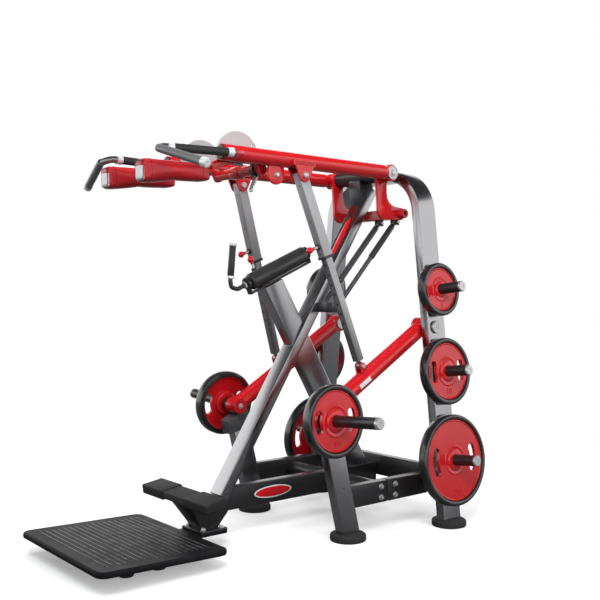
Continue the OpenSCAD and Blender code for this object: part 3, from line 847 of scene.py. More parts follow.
@dataclass
class BaseFrame(Assembly):
    """Welded frame: spine, mast, brace, arch, rails, legs and feet."""

    mast_low: Pair = (-964.0, 195.0)
    mast_high: Pair = (-60.0, 1596.0)
    brace_low: Pair = (-110.0, 160.0)
    brace_high: Pair = (-702.0, 1160.0)
    roller_axis: tuple[Pair, float] = ((-802.0, 1126.0), 23.5)
    leg_y: float = 343.0
    foot_y: float = 465.0
    upright_x: float = 12.0
    upright_long: float = 114.0
    lean_degrees: float = 6.37
    arch_top: float = PRESS_Z
    arch_radius: float = 200.0
    stored_z: tuple[float, float, float] = (1092.0, 710.0, 302.0)
    peg_reach: float = 176.0

    def build(self) -> None:
        """Makes and hands over every fixed piece."""
        self.build_beams()
        self.build_plaques()
        self.build_arch()
        self.build_legs()
        self.build_feet()
        self.build_fixings()
        self.build_pegs()

    def build_beams(self) -> None:
        """Spine, mast, brace, cross beam and cross tube."""
        bench, still = self.bench, spot(0, 0, 0)
        spine = bench.block("spine", (-958, -25, 132), (-25, 25, 232), still, 6, 4)
        self.hand_over(spine, "base", "frame_black", Finishes.CHARCOAL, "spine_beam")
        place, length = lean(self.mast_low, self.mast_high)
        mast = bench.block("mast", (-25, -42, 0), (25, 42, length), place, 4, 4)
        self.hand_over(mast, "base", "frame_grey", Finishes.GRAPHITE, "front_mast")
        place, length = lean(self.brace_low, self.brace_high)
        brace = bench.block("brace", (-55, -30, 0), (55, 30, length), place, 4, 4)
        bench.trim(brace, at(0, 0, 232), (0, 0, -1))
        (x, z), tilt = self.roller_axis
        up = turn("Y", -tilt) @ Vector((0, 0, 1))
        bench.trim(brace, at(x, 0, z) - up * 50 * MM, up)
        self.hand_over(brace, "base", "frame_grey", Finishes.GRAPHITE, "rear_brace")
        cross = bench.block("cross_beam", (-25, -424, 170), (25, 424, 270), still, 6, 4)
        self.hand_over(cross, "base", "frame_black", Finishes.CHARCOAL, "rear_cross_beam")
        tube = bench.lathe("cross_tube", [(0, -320), (38, -320), (38, 320), (0, 320)],
                           spot(-290, 0, 182, turn("X", 90)))
        self.hand_over(tube, "base", "frame_black", Finishes.CHARCOAL, "base_cross_tube")

    def build_plaques(self) -> None:
        """Plain plaques: red ovals with a pale border on the spine, and a red lozenge on the mast."""
        bench = self.bench
        oval = [(106 * x, 27 * z) for x, z in arc(0, 0, 1, 0, 354, 59)]
        place = spot(-684, 25, 183, turn("X", -90), turn("Z", 180))
        for name, share, rise, finish in (("plaque_border", 1.0, 1.2, Finishes.PALE_VINYL),
                                          ("plaque_field", 0.93, 1.7, Finishes.KNOB)):
            outline = [(x * share, z * share ** 3) for x, z in oval]
            plaque = bench.plate(name, outline, rise + 0.4, place @ shift(0, 0, -0.4), 0.3)
            self.pair(plaque, "base", "frame_black", finish)
        place, _ = lean(self.mast_low, self.mast_high)
        field = [(0, -118), (15, -88), (19, 0), (15, 88), (0, 118), (-15, 88), (-19, 0), (-15, -88)]
        place = place @ shift(-25.2, 0, 1364) @ turn("Y", -90) @ turn("Z", 90)
        lozenge = bench.plate("mast_plaque", field, 1.8, place, 0.4)
        self.hand_over(lozenge, "base", "frame_grey", Finishes.KNOB)

    def build_arch(self) -> None:
        """Rear arch: one tube bent twice, swept along its middle line."""
        angle = math.radians(self.lean_degrees)
        radius, top = self.arch_radius, self.arch_top
        tangent_z = top - radius + radius * math.sin(angle)
        middle_y = UPRIGHT_Y - tangent_z * math.tan(angle) - radius * math.cos(angle)
        steps = 20
        turns = [angle + k * (math.pi / 2 - angle) / steps for k in range(steps + 1)]
        half = [(UPRIGHT_Y - 34 * math.tan(angle), 34.0)]
        half += [(middle_y + radius * math.cos(a), top - radius + radius * math.sin(a)) for a in turns]
        x = self.upright_x
        path = [at(x, y, z) for y, z in half] + [at(x, -y, z) for y, z in reversed(half)]
        arch = self.sweep("arch", path, self.upright_long, 50, 5)
        self.hand_over(arch, "base", "frame_grey", Finishes.GRAPHITE, "rear_arch")

    def sweep(self, name: str, path: Sequence[Vector], wide: float, deep: float, corner: float) -> Piece:
        """Rectangular tube along a path in a plane across the machine.

        Args:
            name: Name of the piece.
            path: Points of its middle line, in metres.
            wide: Width along X in millimetres.
            deep: Depth in the plane of the path.
            corner: Radius of its corners.

        Returns:
            The tube as a mesh.
        """
        bench = self.bench
        section = bench.block("section", (-wide / 2, -deep / 2, -60), (wide / 2, deep / 2, 60), Matrix(), corner, 4)
        bench.edit(section)
        bpy.ops.mesh.bisect(plane_co=(0, 0, 0), plane_no=(0, 0, 1), clear_inner=True, clear_outer=True)
        bpy.ops.object.mode_set(mode="OBJECT")
        bpy.ops.object.convert(target="CURVE")
        section = bpy.context.object
        curve = bench.polyline(name, path)
        curve.data.twist_mode = "MINIMUM"
        curve.data.bevel_mode = "OBJECT"
        curve.data.bevel_object = section
        curve.data.use_fill_caps = True
        piece = bench.meshed(curve)
        bpy.data.objects.remove(section, do_unlink=True)
        return bench.smooth(piece, 30.0)

    def build_legs(self) -> None:
        """Front legs with their rail stubs, and the side rails."""
        bench, y = self.bench, self.leg_y
        place, length = lean((-505, -10), (-612, 418), y)
        leg = bench.block("front_leg", (-48.5, -25, 0), (48.5, 25, length), place, 5, 4)
        bench.trim(leg, at(0, 0, 34), (0, 0, -1))
        self.pair(leg, "base", "frame_grey", Finishes.GRAPHITE, "front_leg_{side}")
        stub = bench.block("rail_stub", (-560, y - 24.4, 140), (-291, y + 24.4, 237), spot(0, 0, 0), 6, 4)
        self.pair(stub, "base", "frame_black", Finishes.CHARCOAL, "front_leg_{side}")
        rail = bench.block("side_rail", (-289, y - 24.4, 140), (-25, y + 24.4, 237), spot(0, 0, 0), 6, 4)
        self.pair(rail, "base", "frame_black", Finishes.CHARCOAL, "side_rails")
        bumper = bench.softened("lever_bumpers", 3.0)
        self.hand_over(bumper, "base", "black_rubber", Finishes.BUMPER, "lever_bumpers")

    def build_feet(self) -> None:
        """Round rubber feet under legs and uprights, and small ones under the platform."""
        bench = self.bench
        outline = [(0, 0), (72, 0), (78, 2), (80, 6), (80, 11), (78.6, 12), (78.6, 14), (80, 15), (80, 22), (78, 27),
                   (72, 31), (64, 33.4), (56, 34), (0, 34)]
        foot = bench.lathe("foot", outline, Matrix(), 64)
        places = [spot(x, s * y, 0) for s in (1, -1) for x, y in ((-515, self.leg_y), (self.upright_x, self.foot_y))]
        feet = bench.repeated("round_feet", foot, places)
        self.hand_over(feet, "base", "black_rubber", Finishes.RUBBER, "foot_pads")
        small = bench.lathe("stub", [(0, 0), (27, 0), (30, 3), (30, 60), (26, 64), (0, 64)], Matrix(), 40)
        places = [spot(x, s * 158, 0) for s in (1, -1) for x in (-1497, -1357)]
        feet = bench.repeated("platform_feet", small, places)
        self.hand_over(feet, "base", "black_rubber", Finishes.RUBBER, "foot_pads")

    def build_fixings(self) -> None:
        """Bolts, axles, pivot housing, mast head, brackets and weld beads."""
        bench, y = self.bench, self.leg_y
        out = {s: turn("X", -90 * s) for s in (1, -1)}
        places = [spot(x, s * (y + 25), z, out[s]) for s in (1, -1) for x in (-336, -246) for z in (164, 213)]
        places += [spot(x, yy, 78) for x in (-1082, -992) for yy in (-58, 58)]
        self.hand_over(self.hex_bolt("rail_bolts", 20, places), "base", "bright_steel", Finishes.ZINC, "frame_bolts")
        shaft = bench.lathe("axle", [(0, 263), (29, 263), (29, 271.4), (15, 271.6), (15, 390), (0, 390)],
                            spot(0, 0, LOWER_AXLE_Z, turn("X", -90)))
        cap = bench.lathe("axle_cap", [(12, 388), (30, 394), (30, 401), (27.5, 404), (11, 404), (10, 402.5), (7, 402.5),
                                       (6, 405.5), (0, 406)], spot(0, 0, LOWER_AXLE_Z, turn("X", -90)))
        self.pair(bench.weld("lower_axle", shaft, cap), "base", "bright_steel", Finishes.ZINC, "lower_axles")
        housing = bench.lathe("housing", [(20.1, -147), (36, -147), (38, -145), (38, 145), (36, 147), (20.1, 147),
                                          (20.1, -147)], spot(-120, 0, PRESS_Z, turn("X", 90)), 56)
        self.hand_over(housing, "base", "frame_grey", Finishes.CHARCOAL, "pivot_housing")
        for node, slot, finish in (("mast_head", "frame_grey", Finishes.CHARCOAL),
                                   ("spring_anchor", "frame_grey", Finishes.CHARCOAL),
                                   ("roller_bracket", "frame_black", Finishes.CHARCOAL)):
            self.hand_over(bench.softened(node, 1.5), "base", slot, finish, node)
        self.build_beads()

    def build_beads(self) -> None:
        """Weld beads at the main joints of the frame."""
        half = 55 / math.cos(math.radians(30.6))
        foot_x = self.brace_low[0] + (232 - 160) * (self.brace_high[0] - self.brace_low[0]) / 1000
        beads = [self.bead([at(foot_x + u * half, v * 31, 234) for u, v in
                            ((-1, -1), (1, -1), (1, 1), (-1, 1), (-1, -1))])]
        for s in (1, -1):
            beads.append(self.bead([at(-24, s * 420, 171), at(-24, s * 409, 269)]))
            beads.append(self.bead([at(24, s * 420, 171), at(24, s * 409, 269)]))
            beads.append(self.bead([at(-557, s * (self.leg_y + 22), 236), at(-572, s * (self.leg_y + 22), 240),
                                    at(-572, s * (self.leg_y - 22), 240)]))
        self.hand_over(self.bench.weld("frame_welds", *beads), "base", "frame_black", Finishes.CHARCOAL)

    def store(self, z: float) -> Matrix:
        """Place of a storage peg on the left upright, with its own Z outwards."""
        y = UPRIGHT_Y - z * math.tan(math.radians(self.lean_degrees))
        return spot(self.upright_x, y, z, turn("X", self.lean_degrees)) @ shift(0, 25, 0) @ turn("X", -90)

    def build_pegs(self) -> None:
        """Storage pegs: black sleeves with bright ends."""
        bench, reach = self.bench, self.peg_reach
        peg = [(0, 0), (39, 0), (39, 4), (37, 6), (26, 6.2), (25, 8), (25, reach - 10), (0, reach - 10)]
        tip = self.peg_tip(reach, 11, 21)
        places = [self.store(z) for z in self.stored_z]
        self.pair(bench.repeated("storage_peg", bench.lathe("peg", peg, Matrix()), places), "base", "frame_black",
                  Finishes.CHARCOAL, "storage_pegs")
        self.pair(bench.repeated("storage_peg_tip", bench.lathe("tip", tip, Matrix()), places), "base", "bright_steel",
                  Finishes.ZINC, "storage_pegs")


@dataclass
class FootEnd(Assembly):
    """Foot platform, step bar, its rubber sleeves and the bracket that holds them."""

    long: float = 559.0
    half: float = 358.0
    thick: float = 25.0
    rib_count: int = 18

    def build(self) -> None:
        """Makes and hands over the pieces at the foot end."""
        bench = self.bench
        place = spot(-1150, 0, 59, turn("Y", 1.7))
        board = bench.block("platform", (-self.long, -self.half, 0), (0, self.half, self.thick), Matrix(), 0.01, 1)
        self.round_corners(board, 40)
        bench.chamfer(board, 8, 2, 50)
        bench.settle(board, place)
        tongue = bench.block("tongue", (-1180, -76, 54), (-970, 76, 66), spot(0, 0, 0), 3)
        self.hand_over(bench.weld("platform", bench.smooth(board), tongue), "base", "platform_black", Finishes.BOARD,
                       "foot_platform")
        rib = bench.block("rib", (-1.6, -298, 24.4), (1.6, 298, 26.2), Matrix(), 0.7, 2)
        pitch = (self.long - 120) / (self.rib_count - 1)
        places = [place @ shift(-60 - pitch * k, 0, 0) for k in range(self.rib_count)]
        self.hand_over(bench.repeated("platform_ribs", rib, places), "base", "platform_black", Finishes.RIBS)
        step = spot(-1145, 0, 226, turn("Y", -8.5))
        bar = bench.block("step_bar", (-47, -242, -16), (47, 242, 16), step, 4, 3)
        self.hand_over(bar, "base", "frame_black", Finishes.RUBBER, "step_bar")
        sleeve = bench.block("step_sleeve", (-52, 84, -21), (52, 256, 21), step, 6, 4)
        self.pair(sleeve, "base", "black_rubber", Finishes.SLEEVE, "step_sleeves")
        bracket = bench.softened("step_bracket", 2.0)
        self.hand_over(bracket, "base", "frame_black", Finishes.CHARCOAL, "step_bracket")

    def round_corners(self, board: Piece, radius: float) -> None:
        """Rounds the four upright edges of the board by a radius in millimetres."""
        bench = self.bench
        bench.edit(board)
        bpy.ops.mesh.dissolve_limited(angle_limit=math.radians(50))
        bpy.ops.mesh.select_mode(type="EDGE")
        bpy.ops.mesh.select_all(action="DESELECT")
        bpy.ops.object.mode_set(mode="OBJECT")
        points = board.data.vertices
        for edge in board.data.edges:
            a, b = (points[i].co for i in edge.vertices)
            edge.select = abs(a.z - b.z) > self.thick * MM * 0.9
        bpy.ops.object.mode_set(mode="EDIT")
        bpy.ops.mesh.bevel(offset=radius * MM, segments=10, affect="EDGES")
        bench.close()


@dataclass
class PressArm(Assembly):
    """Upper arm: two levers on one axle, the yoke below it, the handles and the selector discs."""

    pivot: Pair = (-120.0, PRESS_Z)
    pad_pivot: Pair = (-960.0, PRESS_Z)
    lever_y: float = 212.0
    strut_top: Pair = (-689.0, 1591.0)
    lug: Pair = (-814.0, 1586.0)
    handle: tuple[Triple, ...] = ((-1000, 228, 1655), (-1056, 250, 1651), (-1409, 200, 1648), (-1343, 482, 1556))
    body: str = "upper_arm"

    def cross(self, point: Pair) -> Matrix:
        """Place with its own Z to the left, at a point of the middle plane."""
        return spot(point[0], 0, point[1], turn("X", -90))

    def build(self) -> None:
        """Makes and hands over the pieces of the arm."""
        self.build_levers()
        self.build_lug()
        self.build_yoke()
        self.build_handles()
        self.build_discs()

    def build_levers(self) -> None:
        """Lever tubes with their plugs, bosses, strut ears and the axle's caps."""
        bench = self.bench
        front = spot(-1095, self.lever_y, PRESS_Z, turn("Y", 90))
        back = self.cross(self.pivot)
        tube = bench.lathe("tube", [(30.5, 14), (30.5, 0.6), (33, 0), (34, 1.2), (34, 918), (32, 934), (28, 941),
                                    (0, 941)], front, 64)
        boss = bench.lathe("boss", [(0, 164), (38.4, 164), (40, 165.6), (40, 222), (38, 224), (0, 224)], back, 56)
        eye = bench.lathe("eye", [(0, 176.4), (27, 176.4), (28, 178), (28, 206), (0, 206)],
                          self.cross(self.pad_pivot), 40)
        parts = [tube, boss, eye, self.build_ear(196), self.build_ear(251)]
        parts.append(bench.block("bridge", (-750, 196, 1628), (-628, 259, 1652), spot(0, 0, 0), 3))
        self.pair(bench.weld("lever", *parts), self.body, "red_paint", Finishes.RED, "upper_lever_{side}")
        plug = bench.lathe("lever_plug", [(0, 10), (30.4, 10), (30.4, -1), (28.5, -3), (20, -4), (0, -4.4)], front, 48)
        self.pair(plug, self.body, "frame_black", Finishes.PLASTIC)
        cap = bench.lathe("axle_cap", [(0, 222), (33, 222), (34, 224), (34, 229), (32, 231.4), (29, 231.4), (27, 228.6),
                                       (16, 228.6), (14, 230), (12, 230), (11, 234), (9, 236), (0, 236.4)], back, 56)
        self.pair(cap, self.body, "bright_steel", Finishes.ZINC, "pivot_axle")
        head = [(0, 257), (15, 259), (15, 263), (13, 268), (8, 270), (7, 268.5), (0, 268.5)]
        inner = [(0, 186.5), (13, 186.5), (14, 188), (14, 196), (0, 196)]
        shank = [(0, 190), (8, 190), (8, 262), (0, 262)]
        bolts = [bench.lathe("bolt", outline, self.cross(self.strut_top), 32) for outline in (head, inner, shank)]
        self.pair(bench.weld("strut_bolt", *bolts), self.body, "bright_steel", Finishes.ZINC, "strut_bolts")

    def build_lug(self) -> None:
        """Stop lug under the right lever, with its bolt."""
        bench, (x, z) = self.bench, self.lug
        outline = [(x + 42, 1652), (x - 42, 1652), *arc(x, z, 42, 180, 360, 16)]
        plate = bench.plate("lever_lug", outline, 12, spot(0, -206, 0, turn("X", 90)), 2)
        self.hand_over(plate, self.body, "red_paint", Finishes.RED, "upper_lever_right")
        bolt = [(0, 216), (13, 216), (13, 220), (10, 222), (10, 227), (8, 229), (0, 229)]
        head = bench.lathe("lug_bolt", bolt, spot(x, 0, z, turn("X", 90)), 24)
        self.hand_over(head, self.body, "bright_steel", Finishes.ZINC)

    def build_ear(self, y: float) -> Piece:
        """Three-cornered ear under a lever, with a rounded tip round the strut's bolt."""
        x, z = self.strut_top
        outline = [(-752, 1655), *arc(x, z, 30, 200, 340), (-626, 1655)]
        return self.bench.plate("ear", outline, 8, spot(0, y + 8, 0, turn("X", 90)), 1.5)

    def build_yoke(self) -> None:
        """Yoke plates, the bar between them and the springs' ears."""
        bench = self.bench
        outline = [*arc(-120, 1655, 46, -8, 188, 20), (-153, 1500), *arc(-106, 1484, 47, 180, 270, 8), (-40, 1437),
                   *arc(0, 1470, 31, -100, 75, 12), (-38, 1503), (-60, 1510), (-78, 1523), (-90, 1543), (-95, 1570),
                   (-95, 1612)]
        plate = bench.plate("yoke_plate", outline, 16, spot(0, 164, 0, turn("X", 90)), 2.5)
        self.pair(plate, self.body, "red_paint", Finishes.RED, "yoke")
        bar = bench.block("yoke_bar", (-25, -149, 1445), (25, 149, 1495), spot(0, 0, 0), 6, 4)
        knuckle = bench.lathe("knuckle", [(11, 149), (23, 149), (23, 193), (21, 196), (12, 196), (11, 194), (11, 149)],
                              spot(0, 0, 1470, turn("X", 90)), 40)
        ears = [bench.block("ear", (-15, y + d, 1417), (15, y + d + 6, 1452), spot(0, 0, 0), 1.5) for y in (-15, -125)
                for d in (-17, 11)]
        self.hand_over(bench.weld("yoke_bar", bar, knuckle), self.body, "red_paint", Finishes.RED, "yoke")
        self.hand_over(bench.weld("spring_ears", *ears), self.body, "red_paint", Finishes.CHARCOAL)
        pins = self.spring_pins("spring_top_pins", (0, 1432), (-15, -125))
        self.hand_over(pins, self.body, "bright_steel", Finishes.ZINC)

    def build_handles(self) -> None:
        """Bent handle bars with grips, bright collars and end caps."""
        bench = self.bench
        start, knee, elbow, tip = self.handle
        bar = bench.pipe("handle", bent(self.handle, 46), 14.5, 8)
        self.pair(bar, self.body, "frame_black", Finishes.DARK_TUBE, "handle_{side}")
        stub, root = between(start, knee)
        sleeve = [(0, -14), (15, -14), (17, -10), (17.4, root - 4), (17, root), (12.4, root)]
        self.pair(bench.lathe("handle_root", sleeve, stub, 40), self.body, "red_paint", Finishes.RED)
        along, length = between(knee, elbow)
        grip = [(12.4, 0), (16, 0.6), (17, 3), (17, 66), (16.6, 68), (17, 70), (17, 133), (17, 243), (16, 245.4),
                (12.4, 246)]
        place = along @ shift(0, 0, 0.07 * length)
        self.pair(bench.lathe("grip", grip, place, 40), self.body, "black_rubber", Finishes.GRIP, "handle_grips")
        collars = []
        ring = [(12.4, -6), (18.6, -6), (19.6, -4.8), (19.6, 18.8), (18.6, 20), (12.4, 20), (12.4, -6)]
        for share in (0.03, 0.76):
            collars.append(bench.lathe("collar", ring, along @ shift(0, 0, share * length), 40))
        across, reach = between(elbow, tip)
        cap = [(12.4, 0.93 * reach), (18, 0.93 * reach), (19, 0.94 * reach), (19, 1.0 * reach), (16.5, 1.017 * reach),
               (8, 1.02 * reach), (7, 1.012 * reach), (0, 1.012 * reach)]
        collars.append(bench.lathe("cap", cap, across, 40))
        self.pair(bench.weld("handle_collar", *collars), self.body, "silver_tube", Finishes.COLLAR, "handle_collars")
        sleeve = [(12.4, 0.12 * reach), (14.6, 0.125 * reach), (16, 0.15 * reach), (17, 0.3 * reach),
                  (17, 0.93 * reach), (12.4, 0.93 * reach)]
        sleeve = bench.lathe("hand_sleeve", sleeve, across, 40)
        self.pair(sleeve, self.body, "black_rubber", Finishes.HAND, "handle_grips")

    def build_discs(self) -> None:
        """Selector discs with their holes and hubs."""
        bench = self.bench
        place = self.cross(self.pad_pivot)
        disc = bench.lathe("disc", [(14, 134.2), (108.6, 134.2), (110, 135.4), (110, 140.6), (108.6, 142), (14, 142),
                                    (14, 134.2)], place, 96)
        holes = []
        for angle in (13, 38):
            x, z = arc(self.pad_pivot[0], self.pad_pivot[1], 94, angle, 0, 1)[0]
            holes.append(bench.lathe("hole", [(0, 120), (6, 120), (6, 160), (0, 160)], self.cross((x, z)), 24))
        bench.bore(disc, *holes)
        for low, high in (((-1100, 120, 1530), (-800, 160, 1619)), ((-934, 120, 1530), (-800, 160, 1663))):
            bench.bore(disc, bench.block("cut", low, high, spot(0, 0, 0), 1))
        hub = bench.lathe("hub", [(0, 128), (22, 128), (23, 129), (23, 134), (15, 135), (15, 176), (0, 176)], place, 40)
        self.pair(bench.weld("selector_disc", disc, hub), self.body, "disc_grey", Finishes.DISC, "selector_discs")


@dataclass
class PadCarriage(Assembly):
    """Pad carrier, its cross tube, the shoulder pads and the latch."""

    pivot: Pair = (-960.0, PRESS_Z)
    tube: Pair = (-857.0, 1613.0)
    pad_y: float = 132.0
    pad_wide: float = 84.0
    pad_high: float = 104.0
    pad_long: float = 330.0
    cap: float = 0.009
    body: str = "pad_carriage"

    def build(self) -> None:
        """Makes and hands over the carriage."""
        self.build_carrier()
        self.build_pads()
        self.build_latch()

    def build_carrier(self) -> None:
        """Arms on both sides and the tube with its collars between them."""
        bench = self.bench
        outline = [(-1110, 1586), (-980, 1628), (-890, 1628), *arc(*self.tube, 27, -120, 60, 10), (-930, 1678),
                   *arc(*self.pivot, 37, 75, 150, 10), (-1110, 1618)]
        arm = bench.plate("carrier_arm", outline, 22.6, spot(0, 173, 0, turn("X", 90)), 3.0)
        place = spot(self.pivot[0], 0, self.pivot[1], turn("X", -90))
        bench.bore(arm, bench.lathe("hole", [(0, 120), (15.2, 120), (15.2, 190), (0, 190)], place, 40))
        self.pair(arm, self.body, "red_paint", Finishes.RED, "pad_carrier")
        place = spot(self.tube[0], 0, self.tube[1], turn("X", -90))
        outline = [(0, -151), (22.5, -151), (22.5, -21), (27, -20), (28, -18), (28, 38), (27, 40), (22.5, 41),
                   (22.5, 151), (0, 151)]
        tube = bench.lathe("carrier_tube", outline, place, 48)
        self.hand_over(tube, self.body, "red_paint", Finishes.RED, "pad_carrier")

    def build_latch(self) -> None:
        """Latch: a collar on the cross tube with a bent bright rod."""
        bench = self.bench
        place = spot(self.tube[0], 0, self.tube[1], turn("X", -90))
        ring = [(22.6, -142), (30, -142), (32, -140), (32, -120), (30, -118), (22.6, -118), (22.6, -142)]
        loop = [(-853, -138, 1594), (-886, -138, 1519), (-886, -122, 1519), (-853, -122, 1594)]
        rod = bench.pipe("rod", bent(loop, 7), 5.0, 5)
        tail = bench.pipe("tail", [at(-857, -130, 1640), at(-810, -130, 1646)], 5.5, 5)
        self.hand_over(bench.weld("latch", rod, tail), "latch", "polished_rod", Finishes.CHROME, "latch_rod")
        self.hand_over(bench.lathe("latch_ring", ring, place, 40), "latch", "polished_rod", Finishes.CHARCOAL)

    def build_pads(self) -> None:
        """Shoulder pads: stuffed vinyl with sewn bands, and a pale painted highlight on the lower part of the front
        end.
        """
        place = spot(-1110, self.pad_y + 1.5, 1564, turn("Y", -1.2), turn("Z", -2.0))
        pad = self.stuffed("pad_form")
        seams = self.seams(pad)
        for piece in (pad, seams):
            self.bench.settle(piece, place)
        for side in Side:
            word = side.word
            for piece, finish, stem in ((pad, Finishes.VINYL, "shoulder_pad"), (seams, Finishes.PIPING, "pad_piping")):
                copied = self.bench.twin if side is Side.LEFT else self.bench.mirrored
                own = copied(piece, f"{stem}_{word}")
                nodes = (f"shoulder_pad_{word}",) if stem == "shoulder_pad" else ()
                self.hand_over(own, self.body, "pad_red", finish, *nodes)
                if nodes:
                    # The pale lower part of the front end is a painted highlight on the red vinyl.
                    self.end_panel(own)
        for piece in (pad, seams):
            bpy.data.objects.remove(piece, do_unlink=True)

    def stuffed(self, name: str) -> Piece:
        """Pad filled out by a cloth simulation, lying along its own -X.

        Args:
            name: Name of the piece.

        Returns:
            The pad at the origin.
        """
        bench = self.bench
        w, h, long = self.pad_wide / 2 - 5, self.pad_high / 2 - 5, self.pad_long
        pad = bench.block(name, (-long + 4, -w, -h), (-2, w, h), Matrix(), 22, 6)
        bench.edit(pad)
        bpy.ops.mesh.subdivide(number_cuts=3)
        bpy.ops.object.mode_set(mode="OBJECT")
        for vertex in pad.data.vertices:
            share = -vertex.co.x / (long * MM)
            bow = math.sin(math.pi * min(max((share - 0.1) / 0.8, 0.0), 1.0)) ** 2
            if vertex.co.z < 0:
                vertex.co.z *= 1.0 - 0.52 * (1.0 - share) - 0.2 * bow
            else:
                vertex.co.z *= 1.0 - 0.04 * bow
        bench.apply(pad, "REMESH", mode="VOXEL", voxel_size=0.005)
        start = [vertex.co.copy() for vertex in pad.data.vertices]
        self.simulate(pad)
        for vertex, origin in zip(pad.data.vertices, start):
            move = vertex.co - origin
            if move.length > self.cap:
                vertex.co = origin + move.normalized() * self.cap
            vertex.co.x = min(vertex.co.x, -0.0004)
        bench.apply(pad, "SUBSURF", levels=1, render_levels=1)
        return bench.smooth(pad, 80.0)

    def simulate(self, pad: Piece) -> None:
        """Blows the pad up as cloth and applies the result."""
        self.bench.single(pad)
        cloth = pad.modifiers.new("Cloth", "CLOTH")
        cloth.settings.use_pressure = True
        cloth.settings.uniform_pressure_force = 4.0
        cloth.settings.tension_stiffness = 30.0
        cloth.settings.compression_stiffness = 30.0
        cloth.settings.effector_weights.gravity = 0.0
        cloth.point_cache.frame_start, cloth.point_cache.frame_end = 1, 20
        scene = bpy.context.scene
        for frame in range(1, 21):
            scene.frame_set(frame)
        bpy.ops.object.modifier_apply(modifier=cloth.name)
        scene.frame_set(1)

    def seams(self, pad: Piece) -> Piece:
        """Sewn seams round the pad: its own outline at each seam, as a thin cord."""
        bench, cords = self.bench, []
        for share, radius in ((0.972, 2.2), (0.87, 1.0), (0.14, 1.0)):
            ring = bench.twin(pad, "seam")
            bench.edit(ring)
            bpy.ops.mesh.bisect(plane_co=(-self.pad_long * MM * share, 0, 0), plane_no=(1, 0, 0), clear_inner=True,
                                clear_outer=True)
            bpy.ops.object.mode_set(mode="OBJECT")
            bpy.ops.object.convert(target="CURVE")
            ring = bpy.context.object
            ring.data.bevel_depth = radius * MM
            ring.data.bevel_resolution = 2
            bpy.ops.object.convert(target="MESH")
            cords.append(bpy.context.object)
        return bench.smooth(bench.weld("pad_piping", *cords), 60.0)

    def end_panel(self, pad: Piece) -> None:
        """Paints the lower part of the pad's front end pale, as a painted highlight."""
        # Pale vinyl on the lower front-facing faces is a painted highlight, not a separate panel.
        pad.data.materials.append(Finishes.PALE_VINYL.material())
        front = min(vertex.co.x for vertex in pad.data.vertices)
        low = min(vertex.co.z for vertex in pad.data.vertices)
        for face in pad.data.polygons:
            if face.normal.x < -0.6 and face.center.x < front + 0.02 and face.center.z < low + 0.062:
                face.material_index = 1


